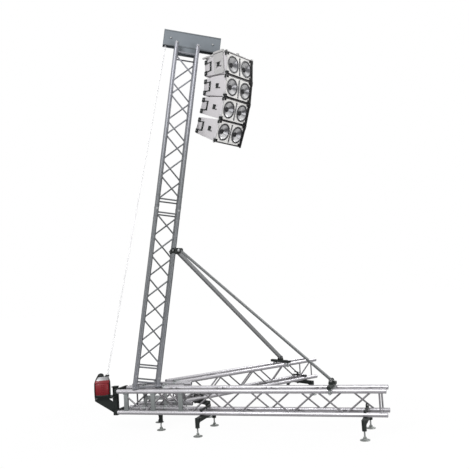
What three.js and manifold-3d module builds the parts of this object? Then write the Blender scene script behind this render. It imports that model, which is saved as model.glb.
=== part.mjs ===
// A ground-supported tower for a hung line array. Two truss legs spread from an apex and stand on
// screw jacks, a leaning truss mast rises over the apex, two braces hold it forward, and a chain hoist
// at the foot lifts four loudspeaker cabinets over the sheaves of a head beam.
// Lengths are millimetres and angles degrees. +X points to the array, +Z is up, the floor is Z = 0 and
// the mast leans in the plane Y = 0.
import * as THREE from 'three';
import Module from 'manifold-3d';
import { mergeVertices } from 'three/addons/utils/BufferGeometryUtils.js';

const wasm = await Module();
wasm.setup();

// Clearances
const fit = 0.35; // between pieces that touch
const overrun = 5; // how far a cutter passes the face it opens
const weldTolerance = 1e-4;

// Truss stock
const chordRadius = 25;
const chordWall = 4;
const chordSides = 6;
const laceRadius = 9;
const laceSides = 4;
const boreRadius = chordRadius - chordWall;
const spigotRadius = boreRadius - fit;
const pinRadius = 6;
const pinSides = 6;
const holeRadius = pinRadius + fit;

// Legs, each in a frame with X along the leg from the apex
const legAngle = 28;
const apexX = -131;
const bottomChordZ = 225;
const legGauge = 240;
const halfGauge = legGauge / 2;
const topChordZ = bottomChordZ + legGauge;
const legMidZ = bottomChordZ + halfGauge;
const chordTopZ = topChordZ + chordRadius;
const chordUnderZ = bottomChordZ - chordRadius;
const nearLeg = { from: -28, firstNode: 27, halfWave: 290, waves: 10, tail: 145, rungInset: 72 };
const centreTruss = { from: -24, firstNode: 78, halfWave: 260, waves: 2, tail: 97, gap: 6 };
const farLeg = { from: 652, firstNode: 752, halfWave: 277.5, waves: 8, tail: 100 };
const centreTrussY = legGauge + 2 * chordRadius + centreTruss.gap;
const stoutPosts = { first: 88, pitch: 345, count: 3, width: 52, thickness: 30 };

// Couplers that clamp round a chord
const coupler = { radius: 32, width: 42, neckRadius: 15, neckSides: 8 };
const tieXs = [195, 468]; // clear of the lacing of both trusses
const swivelInset = 26; // from the end of the far leg
const tiePlate = { thickness: 8, depth: 50 };

// Cross arms and their jacks
const arm = { reach: 260, width: 50, depth: 50 };
// Places along a leg counted in waves of its lacing, so that each clamp stays clear of the lacing
const nearArmShares = { inner: 3.4517, outer: 9.7069 };
const farArmShares = { inner: 0.9946, outer: 7.5315 };
const footBarShares = { near: 8.5103, far: 6.2811 };
const centreArm = { x: 277.5, reach: 219 };
const armTopZ = chordUnderZ - fit;
const armUnderZ = armTopZ - arm.depth;
const barrel = { radius: 24, sides: 8, underZ: 92 };
const gusset = { length: 90, thickness: 8, rise: 12 };
const jack = { radius: 9, sides: 8, topZ: 160, hubRadius: 20, hubRise: 8 };
const pad = { radius: 52, edge: 8, rise: 6 };
const clamp = { boltOffset: 45, boltRadius: 6, boltSides: 6, barWidth: 24, barDepth: 20, barOverhang: 30 };
const tee = { rise: 30, reach: 52, radius: 5, collarRadius: 13, collarDepth: 12 };

// Mast, in a frame with X across it, Y sideways and Z up along it
const mastLean = 9.6;
const mastFoot = new THREE.Vector3(133, 0, 509);
const mastGauge = 266;
const mastHalf = mastGauge / 2;
const mast = { footZ: -60, spliceZ: 2155, topZ: 4230, footRung: 40, halfWave: 257 };
const lowerMast = { firstNode: 255, waves: 7, rungs: [mast.footRung, 210, 2071] };
const upperMast = { firstNode: 2263, waves: 7, rungs: [2238] };
const splice = { reach: 120, boltInset: 44 };
const boltReach = mastHalf + chordRadius + fit;
const boltHead = { radius: 10, depth: 8 };
const base = { thickness: 12, barWidth: 70, sideWidth: 46, spigotTopZ: 150, boltZ: 100 };
const rearBar = { from: -235, to: 175 };
const frontBar = { from: -175, to: 300 };
const baseUnderZ = chordTopZ + fit;
const baseTopZ = baseUnderZ + base.thickness;

// Braces
const braceSize = 45;
const braceHoleInset = 20; // from the pin to the end of the tube
const bracePinRadius = 8;
const mastLug = { z: 1625, reach: 85, width: 64, cheek: 8, depth: 60, nose: 26 };
const footBar = { length: 390, width: 44, depth: 34, pinRise: 36, cheekLength: 64, cheekNose: 14 };

// Head beam, in the mast's frame
const stubClearance = 1;
const stubHalf = mastHalf - chordRadius - stubClearance;
const head = { rearRoom: 37, frontRoom: 45, half: 46, underZ: 4200, topZ: 4400, wall: 6, floorHalf: 140 };
const headStubUnderZ = 4118;
const headBoltZ = 4212;
const sheave = { frontX: 320, rearX: -215, z: 4300, pitchRadius: 50, flangeRise: 7, slack: 1, sides: 16 };
const axle = { radius: 10, sides: 8, spacerRadius: 14, overhang: 10 };

// Load chain, as a cross-shaped bar that fills the space of its links
const chain = { width: 24, wire: 7, arcSteps: 8, endGap: 1.5 };
const chainHalf = chain.width / 2;
const wireHalf = chain.wire / 2;
const fallLength = 58;

// Hoist and its bracket
const hoist = { rear: -470, front: -300, half: 72, underZ: 410, shoulderZ: 570, coverZ: 640, chamfer: 22 };
const cover = { rear: -436, front: -306, half: 40 };
const cap = { x: -399, radius: 37, rise: 40, sides: 16 };
const hoistMouthX = -322;
const post = { x: -88, y: -50, width: 56, footZ: 180, topZ: 505, capWidth: 72, capRise: 12 };
const backPlate = { thickness: 32, depth: 60, overhang: 25 };
const shelf = { front: -236, rear: -476, half: 60, thickness: 13, edgeDepth: 34, ribY: 20, ribThickness: 12 };
const rib = { footZ: 212, toeX: -262, holeInset: 18, holeWidth: 50, holeDepth: 42, holeX: -270 };

// Array, which hangs on the chain's front fall
const heading = -48;
const yoke = { width: 34, half: 24, depth: 46, floor: 16, windowHalf: 17, windowDepth: 20 };
const stem = { radius: 9, holeRadius: 10, sides: 10, headRadius: 14, headDepth: 12 };
const stemEye = { half: 15, thickness: 18, depth: 78 };
const flyFrame = { depth: 44, spineHalf: 13, railWidth: 20, crossWidth: 30, setback: 26 };
const cabinet = { width: 510, height: 270, depth: 400, sideDepth: 210, rearInset: 45, wedge: 5, gap: 6 };
const firstTilt = 5;
const splays = [6, 8, 4]; // of each lower cabinet against the one above
const cabinetSetForward = 380; // from the chain to the first cabinet's front edge
const cabinetDrop = 4; // between the frame and the first cabinet
const baffle = { recess: 16, border: 10, thickness: 8 };
const driver = { margin: 6.8, rim: 17, depth: 50, flange: 5, sides: 12, capRadius: 26, coneDepth: 38 };
const hornSlot = { half: 13, inset: 22, depth: 60 };
const sidePlate = { width: 30, thickness: 6, hingeInset: 16, step: 17, overlap: 45 };
const ear = { radius: 14, sides: 8 };
const hingeRod = { radius: 5, sides: 6, proud: 4, grooveRadius: 7 };

function solidFrom(geometry) {
  geometry.deleteAttribute('normal');
  geometry.deleteAttribute('uv');
  const merged = mergeVertices(geometry, weldTolerance);
  const index = Uint32Array.from(merged.index.array);
  const points = Float32Array.from(merged.attributes.position.array);
  return new wasm.Manifold(new wasm.Mesh({ numProp: 3, vertProperties: points, triVerts: index }));
}

function weld(solids) {
  return solids.reduce((whole, solid) => whole.add(solid));
}

function carve(solid, cutters) {
  return cutters.reduce((whole, cutter) => whole.subtract(cutter), solid);
}

function toGeometry(solid) {
  const mesh = solid.getMesh();
  const geometry = new THREE.BufferGeometry();
  geometry.setAttribute('position', new THREE.BufferAttribute(mesh.vertProperties, mesh.numProp));
  geometry.setIndex(new THREE.BufferAttribute(mesh.triVerts, 1));
  geometry.computeVertexNormals();
  return geometry;
}

// A round or many-sided bar from one point to another. Frame, if given, places both points.
function rod(from, to, radius, sides, frame) {
  const span = to.clone().sub(from);
  const upright = new THREE.Vector3(0, 1, 0);
  const turn = new THREE.Quaternion().setFromUnitVectors(upright, span.clone().normalize());
  const middle = from.clone().add(to).divideScalar(2);
  const geometry = new THREE.CylinderGeometry(radius, radius, span.length(), sides);
  geometry.applyMatrix4(new THREE.Matrix4().compose(middle, turn, new THREE.Vector3(1, 1, 1)));
  if (frame) geometry.applyMatrix4(frame);
  return solidFrom(geometry);
}

// A block between two opposite corners.
function block(low, high, frame) {
  const size = high.clone().sub(low);
  const middle = low.clone().add(high).divideScalar(2);
  const geometry = new THREE.BoxGeometry(size.x, size.y, size.z);
  geometry.translate(middle.x, middle.y, middle.z);
  if (frame) geometry.applyMatrix4(frame);
  return solidFrom(geometry);
}

// A flat plate: an outline of [x, z] points, thick along Y between two values.
function plate(outline, fromY, toY) {
  const shape = new THREE.Shape(outline.map(([x, z]) => new THREE.Vector2(x, z)));
  const geometry = new THREE.ExtrudeGeometry(shape, { depth: toY - fromY, bevelEnabled: false });
  geometry.rotateX(Math.PI / 2);
  geometry.translate(0, toY, 0);
  return solidFrom(geometry);
}

// A flat slab: an outline of [x, y] points, thick along Z between two values.
function slab(outline, fromZ, toZ) {
  const shape = new THREE.Shape(outline.map(([x, y]) => new THREE.Vector2(x, y)));
  const geometry = new THREE.ExtrudeGeometry(shape, { depth: toZ - fromZ, bevelEnabled: false });
  geometry.translate(0, 0, fromZ);
  return solidFrom(geometry);
}

function turned(profile, sides) {
  const points = profile.map(([radius, height]) => new THREE.Vector2(radius, height));
  const geometry = new THREE.LatheGeometry(points, sides);
  geometry.rotateX(Math.PI / 2);
  return geometry;
}

function vec(x, y, z) {
  return new THREE.Vector3(x, y, z);
}

const finishes = {
  aluminium: { color: 0xd3d6d6, roughness: 0.35, metalness: 0.85 },
  mastGrey: { color: 0x707878, roughness: 0.55, metalness: 0.5 },
  headGrey: { color: 0x737a82, roughness: 0.5, metalness: 0.4 },
  black: { color: 0x151a18, roughness: 0.6, metalness: 0.2 },
  galvanised: { color: 0xb9bec0, roughness: 0.45, metalness: 0.8 },
  steel: { color: 0x8b8f92, roughness: 0.35, metalness: 0.9 },
  red: { color: 0x781e23, roughness: 0.45, metalness: 0.15 },
  silver: { color: 0xbfc2c4, roughness: 0.4, metalness: 0.7 },
  cabinet: { color: 0xc8c4c6, roughness: 0.6, metalness: 0.0 },
  cone: { color: 0x9a9aa0, roughness: 0.4, metalness: 0.4 },
};

function piece(parent, name, shape, finish) {
  const geometry = shape.isBufferGeometry ? shape : toGeometry(shape);
  const mesh = new THREE.Mesh(geometry, new THREE.MeshStandardMaterial(finishes[finish]));
  mesh.name = name;
  parent.add(mesh);
  return mesh;
}

// Frames
const radians = THREE.MathUtils.degToRad;
const tower = new THREE.Group();
const nearFrame = new THREE.Group();
nearFrame.position.set(apexX, 0, 0);
nearFrame.rotation.z = -radians(legAngle);
const farFrame = new THREE.Group();
farFrame.position.set(apexX, 0, 0);
farFrame.rotation.z = radians(legAngle);
const mastFrame = new THREE.Group();
mastFrame.position.copy(mastFoot);
mastFrame.rotation.y = radians(mastLean);
tower.add(nearFrame, farFrame, mastFrame);
tower.updateMatrixWorld(true);
const farInNear = nearFrame.matrixWorld.clone().invert().multiply(farFrame.matrixWorld);

function place(frame, x, y, z) {
  return vec(x, y, z).applyMatrix4(frame.matrixWorld);
}

// Box truss: four hollow chords with one zigzag of lacing on each face and square rungs.
// The point function places a distance along the truss, a sideways offset and an upward one.
function boxTruss({ from, to, firstNode, halfWave, waves, rungs }, half, point) {
  const corners = [[-half, -half], [-half, half], [half, half], [half, -half]];
  const chords = corners.map(([side, up]) => rod(
    point(from, side, up),
    point(to, side, up),
    chordRadius,
    chordSides,
  ));
  const bores = corners.map(([side, up]) => rod(
    point(from - overrun, side, up),
    point(to + overrun, side, up),
    boreRadius,
    chordSides,
  ));
  const laces = [];
  corners.forEach((corner, face) => {
    const next = corners[(face + 1) % corners.length];
    for (let wave = 0; wave < waves; wave += 1) {
      const start = firstNode + wave * halfWave;
      const ends = wave % 2 ? [corner, next] : [next, corner];
      laces.push(rod(point(start, ...ends[0]), point(start + halfWave, ...ends[1]), laceRadius, laceSides));
    }
    rungs.forEach((at) => laces.push(rod(point(at, ...corner), point(at, ...next), laceRadius, laceSides)));
  });
  return { solid: weld([...chords, ...laces]), bores };
}

function waveX(leg, waves) {
  return leg.firstNode + waves * leg.halfWave;
}

function lastNodeX(leg) {
  return waveX(leg, leg.waves);
}

function legEnd(leg) {
  return lastNodeX(leg) + leg.tail;
}

function legPoint(midY) {
  return (along, side, up) => vec(along, midY + side, legMidZ + up);
}

function makeLegs() {
  const nearTo = legEnd(nearLeg);
  const nearSpan = { ...nearLeg, to: nearTo, rungs: [nearTo - nearLeg.rungInset] };
  const near = boxTruss(nearSpan, halfGauge, legPoint(0));
  const posts = [];
  for (let index = 0; index < stoutPosts.count; index += 1) {
    const middle = stoutPosts.first + index * stoutPosts.pitch;
    posts.push(block(
      vec(middle - stoutPosts.width / 2, -halfGauge - stoutPosts.thickness / 2, bottomChordZ),
      vec(middle + stoutPosts.width / 2, -halfGauge + stoutPosts.thickness / 2, topChordZ),
    ));
  }
  piece(nearFrame, 'near_leg_truss', carve(weld([near.solid, ...posts]), near.bores), 'aluminium');

  const centreRungs = [centreTruss.firstNode, lastNodeX(centreTruss)];
  const centreSpan = { ...centreTruss, to: legEnd(centreTruss), rungs: centreRungs };
  const centre = boxTruss(centreSpan, halfGauge, legPoint(centreTrussY));
  piece(nearFrame, 'centre_truss', carve(centre.solid, centre.bores), 'aluminium');

  const farRungs = [farLeg.firstNode, lastNodeX(farLeg)];
  const far = boxTruss({ ...farLeg, to: legEnd(farLeg), rungs: farRungs }, halfGauge, legPoint(0));
  piece(farFrame, 'far_leg_truss', carve(far.solid, far.bores), 'aluminium');
}

// A clamp ring round a chord that runs along X, and the hole that the chord fills.
function clampRing(x, y, z, width, frame) {
  const reach = width / 2;
  return {
    ring: rod(vec(x - reach, y, z), vec(x + reach, y, z), coupler.radius, chordSides, frame),
    hole: rod(
      vec(x - reach - overrun, y, z),
      vec(x + reach + overrun, y, z),
      chordRadius + fit,
      chordSides,
      frame,
    ),
  };
}

// The clamps that tie the centre truss to the near leg, and the swivel clamps to the far leg.
function makeCouplers() {
  const betweenY = (halfGauge + centreTrussY - halfGauge) / 2;
  const ties = [];
  const tieHoles = [];
  [bottomChordZ, topChordZ].forEach((z) => {
    tieXs.forEach((x) => [halfGauge, centreTrussY - halfGauge].forEach((y) => {
      const { ring, hole } = clampRing(x, y, z, coupler.width);
      ties.push(ring);
      tieHoles.push(hole);
    }));
  });
  tieXs.forEach((x) => ties.push(block(
    vec(x - coupler.width / 2, betweenY - tiePlate.thickness / 2, bottomChordZ),
    vec(x + coupler.width / 2, betweenY + tiePlate.thickness / 2, topChordZ),
  )));
  ties.push(block(
    vec(tieXs[0], betweenY - tiePlate.thickness / 2, legMidZ - tiePlate.depth / 2),
    vec(tieXs[1], betweenY + tiePlate.thickness / 2, legMidZ + tiePlate.depth / 2),
  ));
  piece(nearFrame, 'truss_tie', carve(weld(ties), tieHoles), 'galvanised');

  const swivels = [];
  const swivelHoles = [];
  const swivelX = farLeg.from + swivelInset;
  const outerY = centreTrussY + halfGauge;
  const [low, high] = [bottomChordZ, topChordZ].map((z) => {
    const onFar = clampRing(swivelX, -halfGauge, z, coupler.width, farInNear);
    const centre = vec(swivelX, -halfGauge, z).applyMatrix4(farInNear);
    const onCentre = clampRing(centre.x, outerY, z, coupler.width);
    swivels.push(onFar.ring, onCentre.ring);
    swivels.push(rod(vec(centre.x, outerY, z), centre, coupler.neckRadius, coupler.neckSides));
    swivelHoles.push(onFar.hole, onCentre.hole);
    return vec(centre.x, (outerY + centre.y) / 2, z);
  });
  swivels.push(rod(low, high, coupler.neckRadius, coupler.neckSides));
  piece(nearFrame, 'swivel_coupler', carve(weld(swivels), swivelHoles), 'galvanised');
}

// A cross arm along Y under the bottom chords, with a jack barrel and a gusset at each end.
function crossArm(reach, boltYs) {
  const parts = [block(vec(-arm.width / 2, -reach, armUnderZ), vec(arm.width / 2, reach, armTopZ))];
  const holes = [];
  [-1, 1].forEach((side) => {
    const y = side * reach;
    const outline = [
      [y - side * barrel.radius / 2, barrel.underZ + gusset.rise],
      [y - side * barrel.radius / 2, armUnderZ + overrun],
      [y - side * gusset.length, armUnderZ + overrun],
      [y - side * gusset.length, armUnderZ],
    ];
    parts.push(rod(vec(0, y, barrel.underZ), vec(0, y, armTopZ), barrel.radius, barrel.sides));
    parts.push(crosswisePlate(outline, -gusset.thickness / 2, gusset.thickness / 2));
    holes.push(rod(
      vec(0, y, barrel.underZ - overrun),
      vec(0, y, armTopZ + overrun),
      jack.radius + fit,
      jack.sides,
    ));
  });
  boltYs.forEach((y) => {
    const low = vec(0, y, armUnderZ - overrun);
    holes.push(rod(low, vec(0, y, armTopZ + overrun), clamp.boltRadius + fit, clamp.boltSides));
  });
  return carve(weld(parts), holes);
}

// A plate square to X: an outline of [y, z] points, thick along X between two values.
function crosswisePlate(outline, fromX, toX) {
  const shape = new THREE.Shape(outline.map(([y, z]) => new THREE.Vector2(y, z)));
  const geometry = new THREE.ExtrudeGeometry(shape, { depth: toX - fromX, bevelEnabled: false });
  geometry.translate(0, 0, fromX);
  geometry.applyMatrix4(new THREE.Matrix4().makeBasis(vec(0, 1, 0), vec(0, 0, 1), vec(1, 0, 0)));
  return solidFrom(geometry);
}

// A screw with its pad, and the foot of the pad on the floor.
function jackScrew() {
  const riseZ = pad.edge + pad.rise;
  return turned([
    [0, 0],
    [pad.radius, 0],
    [pad.radius, pad.edge],
    [jack.hubRadius, riseZ],
    [jack.radius, riseZ + jack.hubRise],
    [jack.radius, jack.topZ],
    [0, jack.topZ],
  ], jack.sides);
}

// The bar across two bottom chords with the bolt and tee handle that pull it to the arm below.
function teeClamp() {
  const barLowZ = bottomChordZ + chordRadius + fit;
  const barTopZ = barLowZ + clamp.barDepth;
  const reach = halfGauge + clamp.barOverhang;
  const y = clamp.boltOffset;
  const headTopZ = armUnderZ - fit;
  const headLowZ = headTopZ - tee.collarDepth;
  const teeZ = barTopZ + tee.rise;
  return weld([
    block(vec(-clamp.barWidth / 2, -reach, barLowZ), vec(clamp.barWidth / 2, reach, barTopZ)),
    rod(vec(0, y, headLowZ), vec(0, y, teeZ), clamp.boltRadius, clamp.boltSides),
    rod(vec(0, y, headLowZ), vec(0, y, headTopZ), tee.collarRadius, clamp.boltSides),
    rod(vec(0, y, barTopZ), vec(0, y, barTopZ + tee.collarDepth), tee.collarRadius, clamp.boltSides),
    rod(vec(0, y - tee.reach, teeZ), vec(0, y + tee.reach, teeZ), tee.radius, clamp.boltSides),
  ]);
}

function makeArms() {
  const legs = [
    ['near', nearFrame, nearLeg, nearArmShares],
    ['far', farFrame, farLeg, farArmShares],
  ];
  legs.forEach(([legName, frame, leg, armShares]) => {
    Object.entries(armShares).forEach(([armName, waves]) => {
      const station = new THREE.Group();
      station.position.x = waveX(leg, waves);
      frame.add(station);
      const name = `${legName}_${armName}`;
      piece(station, `${name}_arm`, crossArm(arm.reach, [clamp.boltOffset]), 'black');
      piece(station, `${name}_clamp`, teeClamp(), 'black');
      [['left', arm.reach], ['right', -arm.reach]].forEach(([side, y]) => {
        piece(station, `${name}_${side}_jack`, jackScrew(), 'galvanised').position.y = y;
      });
    });
  });
  const station = new THREE.Group();
  station.position.x = centreArm.x;
  tower.add(station);
  piece(station, 'centre_arm', crossArm(centreArm.reach, []), 'black');
  [['left', centreArm.reach], ['right', -centreArm.reach]].forEach(([side, y]) => {
    piece(station, `centre_${side}_jack`, jackScrew(), 'galvanised').position.y = y;
  });
}

// Where a mast chord meets a height in the tower's frame.
function mastFootX(side) {
  const across = side * mastHalf;
  const foot = place(mastFrame, across, 0, 0);
  return foot.x + (baseTopZ - foot.z) * Math.tan(radians(mastLean));
}

function mastPoint(along, side, up) {
  return vec(up, side, along);
}

// A bolt along Y through both chords of the mast's front or rear face.
function throughBolt(x, z, reach) {
  return weld([
    rod(vec(x, -reach, z), vec(x, reach, z), pinRadius, pinSides),
    rod(vec(x, -reach - boltHead.depth, z), vec(x, -reach, z), boltHead.radius, pinSides),
    rod(vec(x, reach, z), vec(x, reach + boltHead.depth, z), boltHead.radius, pinSides),
  ]);
}

function boltHole(x, z, reach, frame) {
  return rod(vec(x, -reach, z), vec(x, reach, z), holeRadius, pinSides, frame);
}

const mastCorners = [-mastHalf, mastHalf].flatMap((x) => [[x, -mastHalf], [x, mastHalf]]);

function makeMast() {
  const faceXs = [['rear', -mastHalf], ['front', mastHalf]];
  const spliceBoltZ = mast.spliceZ - splice.boltInset;
  const holeReach = boltReach + overrun;
  const holesAt = (z, frame) => faceXs.map(([, x]) => boltHole(x, z, holeReach, frame));
  const underBase = block(
    vec(-mastGauge * 2, -mastGauge, 0),
    vec(mastGauge * 2, mastGauge, baseTopZ + fit),
    mastFrame.matrixWorld.clone().invert(),
  );

  const lowSpan = { from: mast.footZ, to: mast.spliceZ - fit, halfWave: mast.halfWave };
  const low = boxTruss({ ...lowerMast, ...lowSpan }, mastHalf, mastPoint);
  const lowHoles = [...holesAt(base.boltZ), ...holesAt(spliceBoltZ)];
  piece(mastFrame, 'mast_lower', carve(low.solid, [...low.bores, underBase, ...lowHoles]), 'mastGrey');

  const highSpan = { from: mast.spliceZ, to: mast.topZ, halfWave: mast.halfWave };
  const high = boxTruss({ ...upperMast, ...highSpan }, mastHalf, mastPoint);
  const spigots = mastCorners.map(([x, y]) => weld([
    rod(
      vec(x, y, mast.spliceZ - splice.reach),
      vec(x, y, mast.spliceZ + splice.reach),
      spigotRadius,
      chordSides,
    ),
    rod(
      vec(x, y, mast.spliceZ),
      vec(x, y, mast.spliceZ + splice.reach),
      boreRadius + fit,
      chordSides,
    ),
  ]));
  const upper = weld([carve(high.solid, high.bores), ...spigots]);
  const highHoles = [...holesAt(spliceBoltZ), ...holesAt(headBoltZ)];
  piece(mastFrame, 'mast_upper', carve(upper, highHoles), 'mastGrey');
  faceXs.forEach(([face, x]) => {
    piece(mastFrame, `foot_bolt_${face}`, throughBolt(x, base.boltZ, boltReach), 'steel');
    piece(mastFrame, `splice_bolt_${face}`, throughBolt(x, spliceBoltZ, boltReach), 'steel');
  });

  const rearX = mastFootX(-1);
  const frontX = mastFootX(1);
  const bars = [[rearX, rearBar], [frontX, frontBar]].map(([x, { from, to }]) => block(
    vec(x - base.barWidth / 2, from, baseUnderZ),
    vec(x + base.barWidth / 2, to, baseTopZ),
  ));
  const sides = [-mastHalf, mastHalf].map((y) => block(
    vec(rearX, y - base.sideWidth / 2, baseUnderZ),
    vec(frontX, y + base.sideWidth / 2, baseTopZ),
  ));
  const underPlate = block(
    vec(-mastGauge * 2, -mastGauge, 0),
    vec(mastGauge * 2, mastGauge, baseUnderZ + base.thickness / 2),
  );
  const stubs = mastCorners.map(([x, y]) => rod(
    vec(x, y, mast.footZ),
    vec(x, y, base.spigotTopZ),
    spigotRadius,
    chordSides,
    mastFrame.matrixWorld,
  ));
  const stubHoles = holesAt(base.boltZ, mastFrame.matrixWorld);
  const frameSolid = weld([...bars, ...sides, carve(weld(stubs), [underPlate])]);
  piece(tower, 'mast_base', carve(frameSolid, stubHoles), 'mastGrey');
}

// One brace with its lug on the mast and its bar across the leg. Side is -1 near and 1 far.
function makeBrace(name, side, legFrame, leg) {
  const chord = place(mastFrame, mastHalf, side * mastHalf, mastLug.z);
  const barX = waveX(leg, footBarShares[name]);
  const barTopZ = chordTopZ + footBar.depth;
  const foot = place(legFrame, barX, 0, barTopZ + footBar.pinRise);
  const plan = new THREE.Group();
  plan.position.set(chord.x, chord.y, 0);
  plan.rotation.z = Math.atan2(foot.y - chord.y, foot.x - chord.x);
  tower.add(plan);
  plan.updateMatrixWorld(true);
  const footX = Math.hypot(foot.x - chord.x, foot.y - chord.y);
  const top = vec(mastLug.reach, 0, chord.z);
  const bottom = vec(footX, 0, foot.z);
  const direction = bottom.clone().sub(top).normalize();
  const half = braceSize / 2;

  const tube = new THREE.BoxGeometry(braceSize, braceSize, top.distanceTo(bottom) + 2 * braceHoleInset);
  tube.rotateY(Math.atan2(direction.x, direction.z));
  tube.translate((top.x + bottom.x) / 2, 0, (top.z + bottom.z) / 2);
  const eyes = [top, bottom].map(({ x, z }) => rod(
    vec(x, -half - overrun, z),
    vec(x, half + overrun, z),
    bracePinRadius + fit,
    pinSides,
  ));
  piece(plan, `${name}_brace`, carve(solidFrom(tube), eyes), 'aluminium');

  const cheekY = half + fit;
  const cheekOut = cheekY + mastLug.cheek;
  const pins = [top, bottom].map(({ x, z }) => rod(
    vec(x, -cheekOut - mastLug.cheek, z),
    vec(x, cheekOut + mastLug.cheek, z),
    bracePinRadius,
    pinSides,
    plan.matrixWorld,
  ));
  const ringFrame = mastFrame.matrixWorld;
  const ringLow = vec(mastHalf, side * mastHalf, mastLug.z - mastLug.width / 2);
  const ringHigh = vec(mastHalf, side * mastHalf, mastLug.z + mastLug.width / 2);
  const ring = rod(ringLow, ringHigh, coupler.radius, chordSides, ringFrame);
  const ringHole = rod(
    ringLow.clone().setZ(ringLow.z - overrun),
    ringHigh.clone().setZ(ringHigh.z + overrun),
    chordRadius + fit,
    chordSides,
    ringFrame,
  );
  const lugCheeks = [-1, 1].map((face) => block(
    vec(0, Math.min(face * cheekY, face * cheekOut), chord.z - mastLug.depth / 2),
    vec(mastLug.reach + mastLug.nose, Math.max(face * cheekY, face * cheekOut), chord.z + mastLug.depth / 2),
    plan.matrixWorld,
  ));
  piece(tower, `${name}_brace_lug`, carve(weld([ring, ...lugCheeks, pins[0]]), [ringHole]), 'black');

  const barLowZ = barTopZ - footBar.depth;
  const bar = block(
    vec(barX - footBar.width / 2, -footBar.length / 2, barLowZ),
    vec(barX + footBar.width / 2, footBar.length / 2, barTopZ),
    legFrame.matrixWorld,
  );
  const cheekLowZ = barTopZ - footBar.depth / 2;
  const cheekTopZ = foot.z + footBar.cheekNose;
  const footCheeks = [-1, 1].map((face) => block(
    vec(footX - footBar.cheekLength / 2, Math.min(face * cheekY, face * cheekOut), cheekLowZ),
    vec(footX + footBar.cheekLength / 2, Math.max(face * cheekY, face * cheekOut), cheekTopZ),
    plan.matrixWorld,
  ));
  const clamps = [-halfGauge, halfGauge].map((y) => (
    clampRing(barX, y, topChordZ, coupler.width, legFrame.matrixWorld)
  ));
  const footParts = [bar, ...footCheeks, pins[1], ...clamps.map(({ ring: onChord }) => onChord)];
  piece(tower, `${name}_foot_bar`, carve(weld(footParts), clamps.map(({ hole }) => hole)), 'black');
}

function makeBraces() {
  makeBrace('near', -1, nearFrame, nearLeg);
  makeBrace('far', 1, farFrame, farLeg);
}

function sheaveGeometry() {
  const grooveRadius = sheave.pitchRadius - chainHalf - sheave.slack;
  const rimRadius = sheave.pitchRadius - wireHalf - sheave.slack;
  const slotHalf = wireHalf + sheave.slack;
  const rimHalf = chainHalf + sheave.slack;
  const outerHalf = rimHalf + chain.wire;
  const hubBore = axle.radius + fit;
  const flange = sheave.pitchRadius + sheave.flangeRise;
  const profile = [
    [hubBore, -outerHalf],
    [flange, -outerHalf],
    [flange, -rimHalf],
    [rimRadius, -rimHalf],
    [rimRadius, -slotHalf],
    [grooveRadius, -slotHalf],
    [grooveRadius, slotHalf],
    [rimRadius, slotHalf],
    [rimRadius, rimHalf],
    [flange, rimHalf],
    [flange, outerHalf],
    [hubBore, outerHalf],
    [hubBore, -outerHalf],
  ];
  const geometry = turned(profile, sheave.sides);
  geometry.rotateX(Math.PI / 2);
  return geometry;
}

function makeHead() {
  const { half, underZ, topZ, wall, floorHalf } = head;
  const from = sheave.rearX - sheave.pitchRadius - head.rearRoom;
  const to = sheave.frontX + sheave.pitchRadius + head.frontRoom;
  const outer = block(vec(from, -half, underZ), vec(to, half, topZ));
  const hollow = block(
    vec(from + wall, -half + wall, underZ + wall),
    vec(to - wall, half - wall, topZ - wall),
  );
  const mouths = [[from + wall, -floorHalf], [floorHalf, to - wall]].map(([fromX, toX]) => block(
    vec(fromX, -half + wall, underZ - overrun),
    vec(toX, half - wall, underZ + 2 * wall),
  ));
  const stub = block(vec(-stubHalf, -half, headStubUnderZ), vec(stubHalf, half, underZ + wall / 2));
  const stubHollow = block(
    vec(-stubHalf + wall, -half + wall, headStubUnderZ - overrun),
    vec(stubHalf - wall, half - wall, underZ - wall),
  );
  const axleXs = [sheave.frontX, sheave.rearX];
  const hubHalf = chainHalf + sheave.slack + chain.wire + fit;
  const axles = axleXs.flatMap((x) => [
    rod(
      vec(x, -half - axle.overhang, sheave.z),
      vec(x, half + axle.overhang, sheave.z),
      axle.radius,
      axle.sides,
    ),
    rod(vec(x, -half + fit, sheave.z), vec(x, -hubHalf, sheave.z), axle.spacerRadius, axle.sides),
    rod(vec(x, hubHalf, sheave.z), vec(x, half - fit, sheave.z), axle.spacerRadius, axle.sides),
  ]);
  const bolts = [-mastHalf, mastHalf].map((x) => throughBolt(x, headBoltZ, boltReach));
  const shell = carve(weld([carve(outer, [hollow]), stub]), [...mouths, stubHollow]);
  piece(mastFrame, 'head_beam', weld([shell, ...axles, ...bolts]), 'headGrey');
  [['front_sheave', sheave.frontX], ['rear_sheave', sheave.rearX]].forEach(([name, x]) => {
    piece(mastFrame, name, sheaveGeometry(), 'steel').position.set(x, 0, sheave.z);
  });
}

// The cross-shaped section of the load chain.
function chainSection() {
  const [a, b] = [wireHalf, chainHalf];
  const quarter = [[a, b], [-a, b], [-a, a]];
  const points = [0, 1, 2, 3].flatMap((turns) => quarter.map(([x, y]) => {
    const point = new THREE.Vector2(x, y);
    for (let done = 0; done < turns; done += 1) point.set(-point.y, point.x);
    return point;
  }));
  return new THREE.Shape(points);
}

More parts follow.
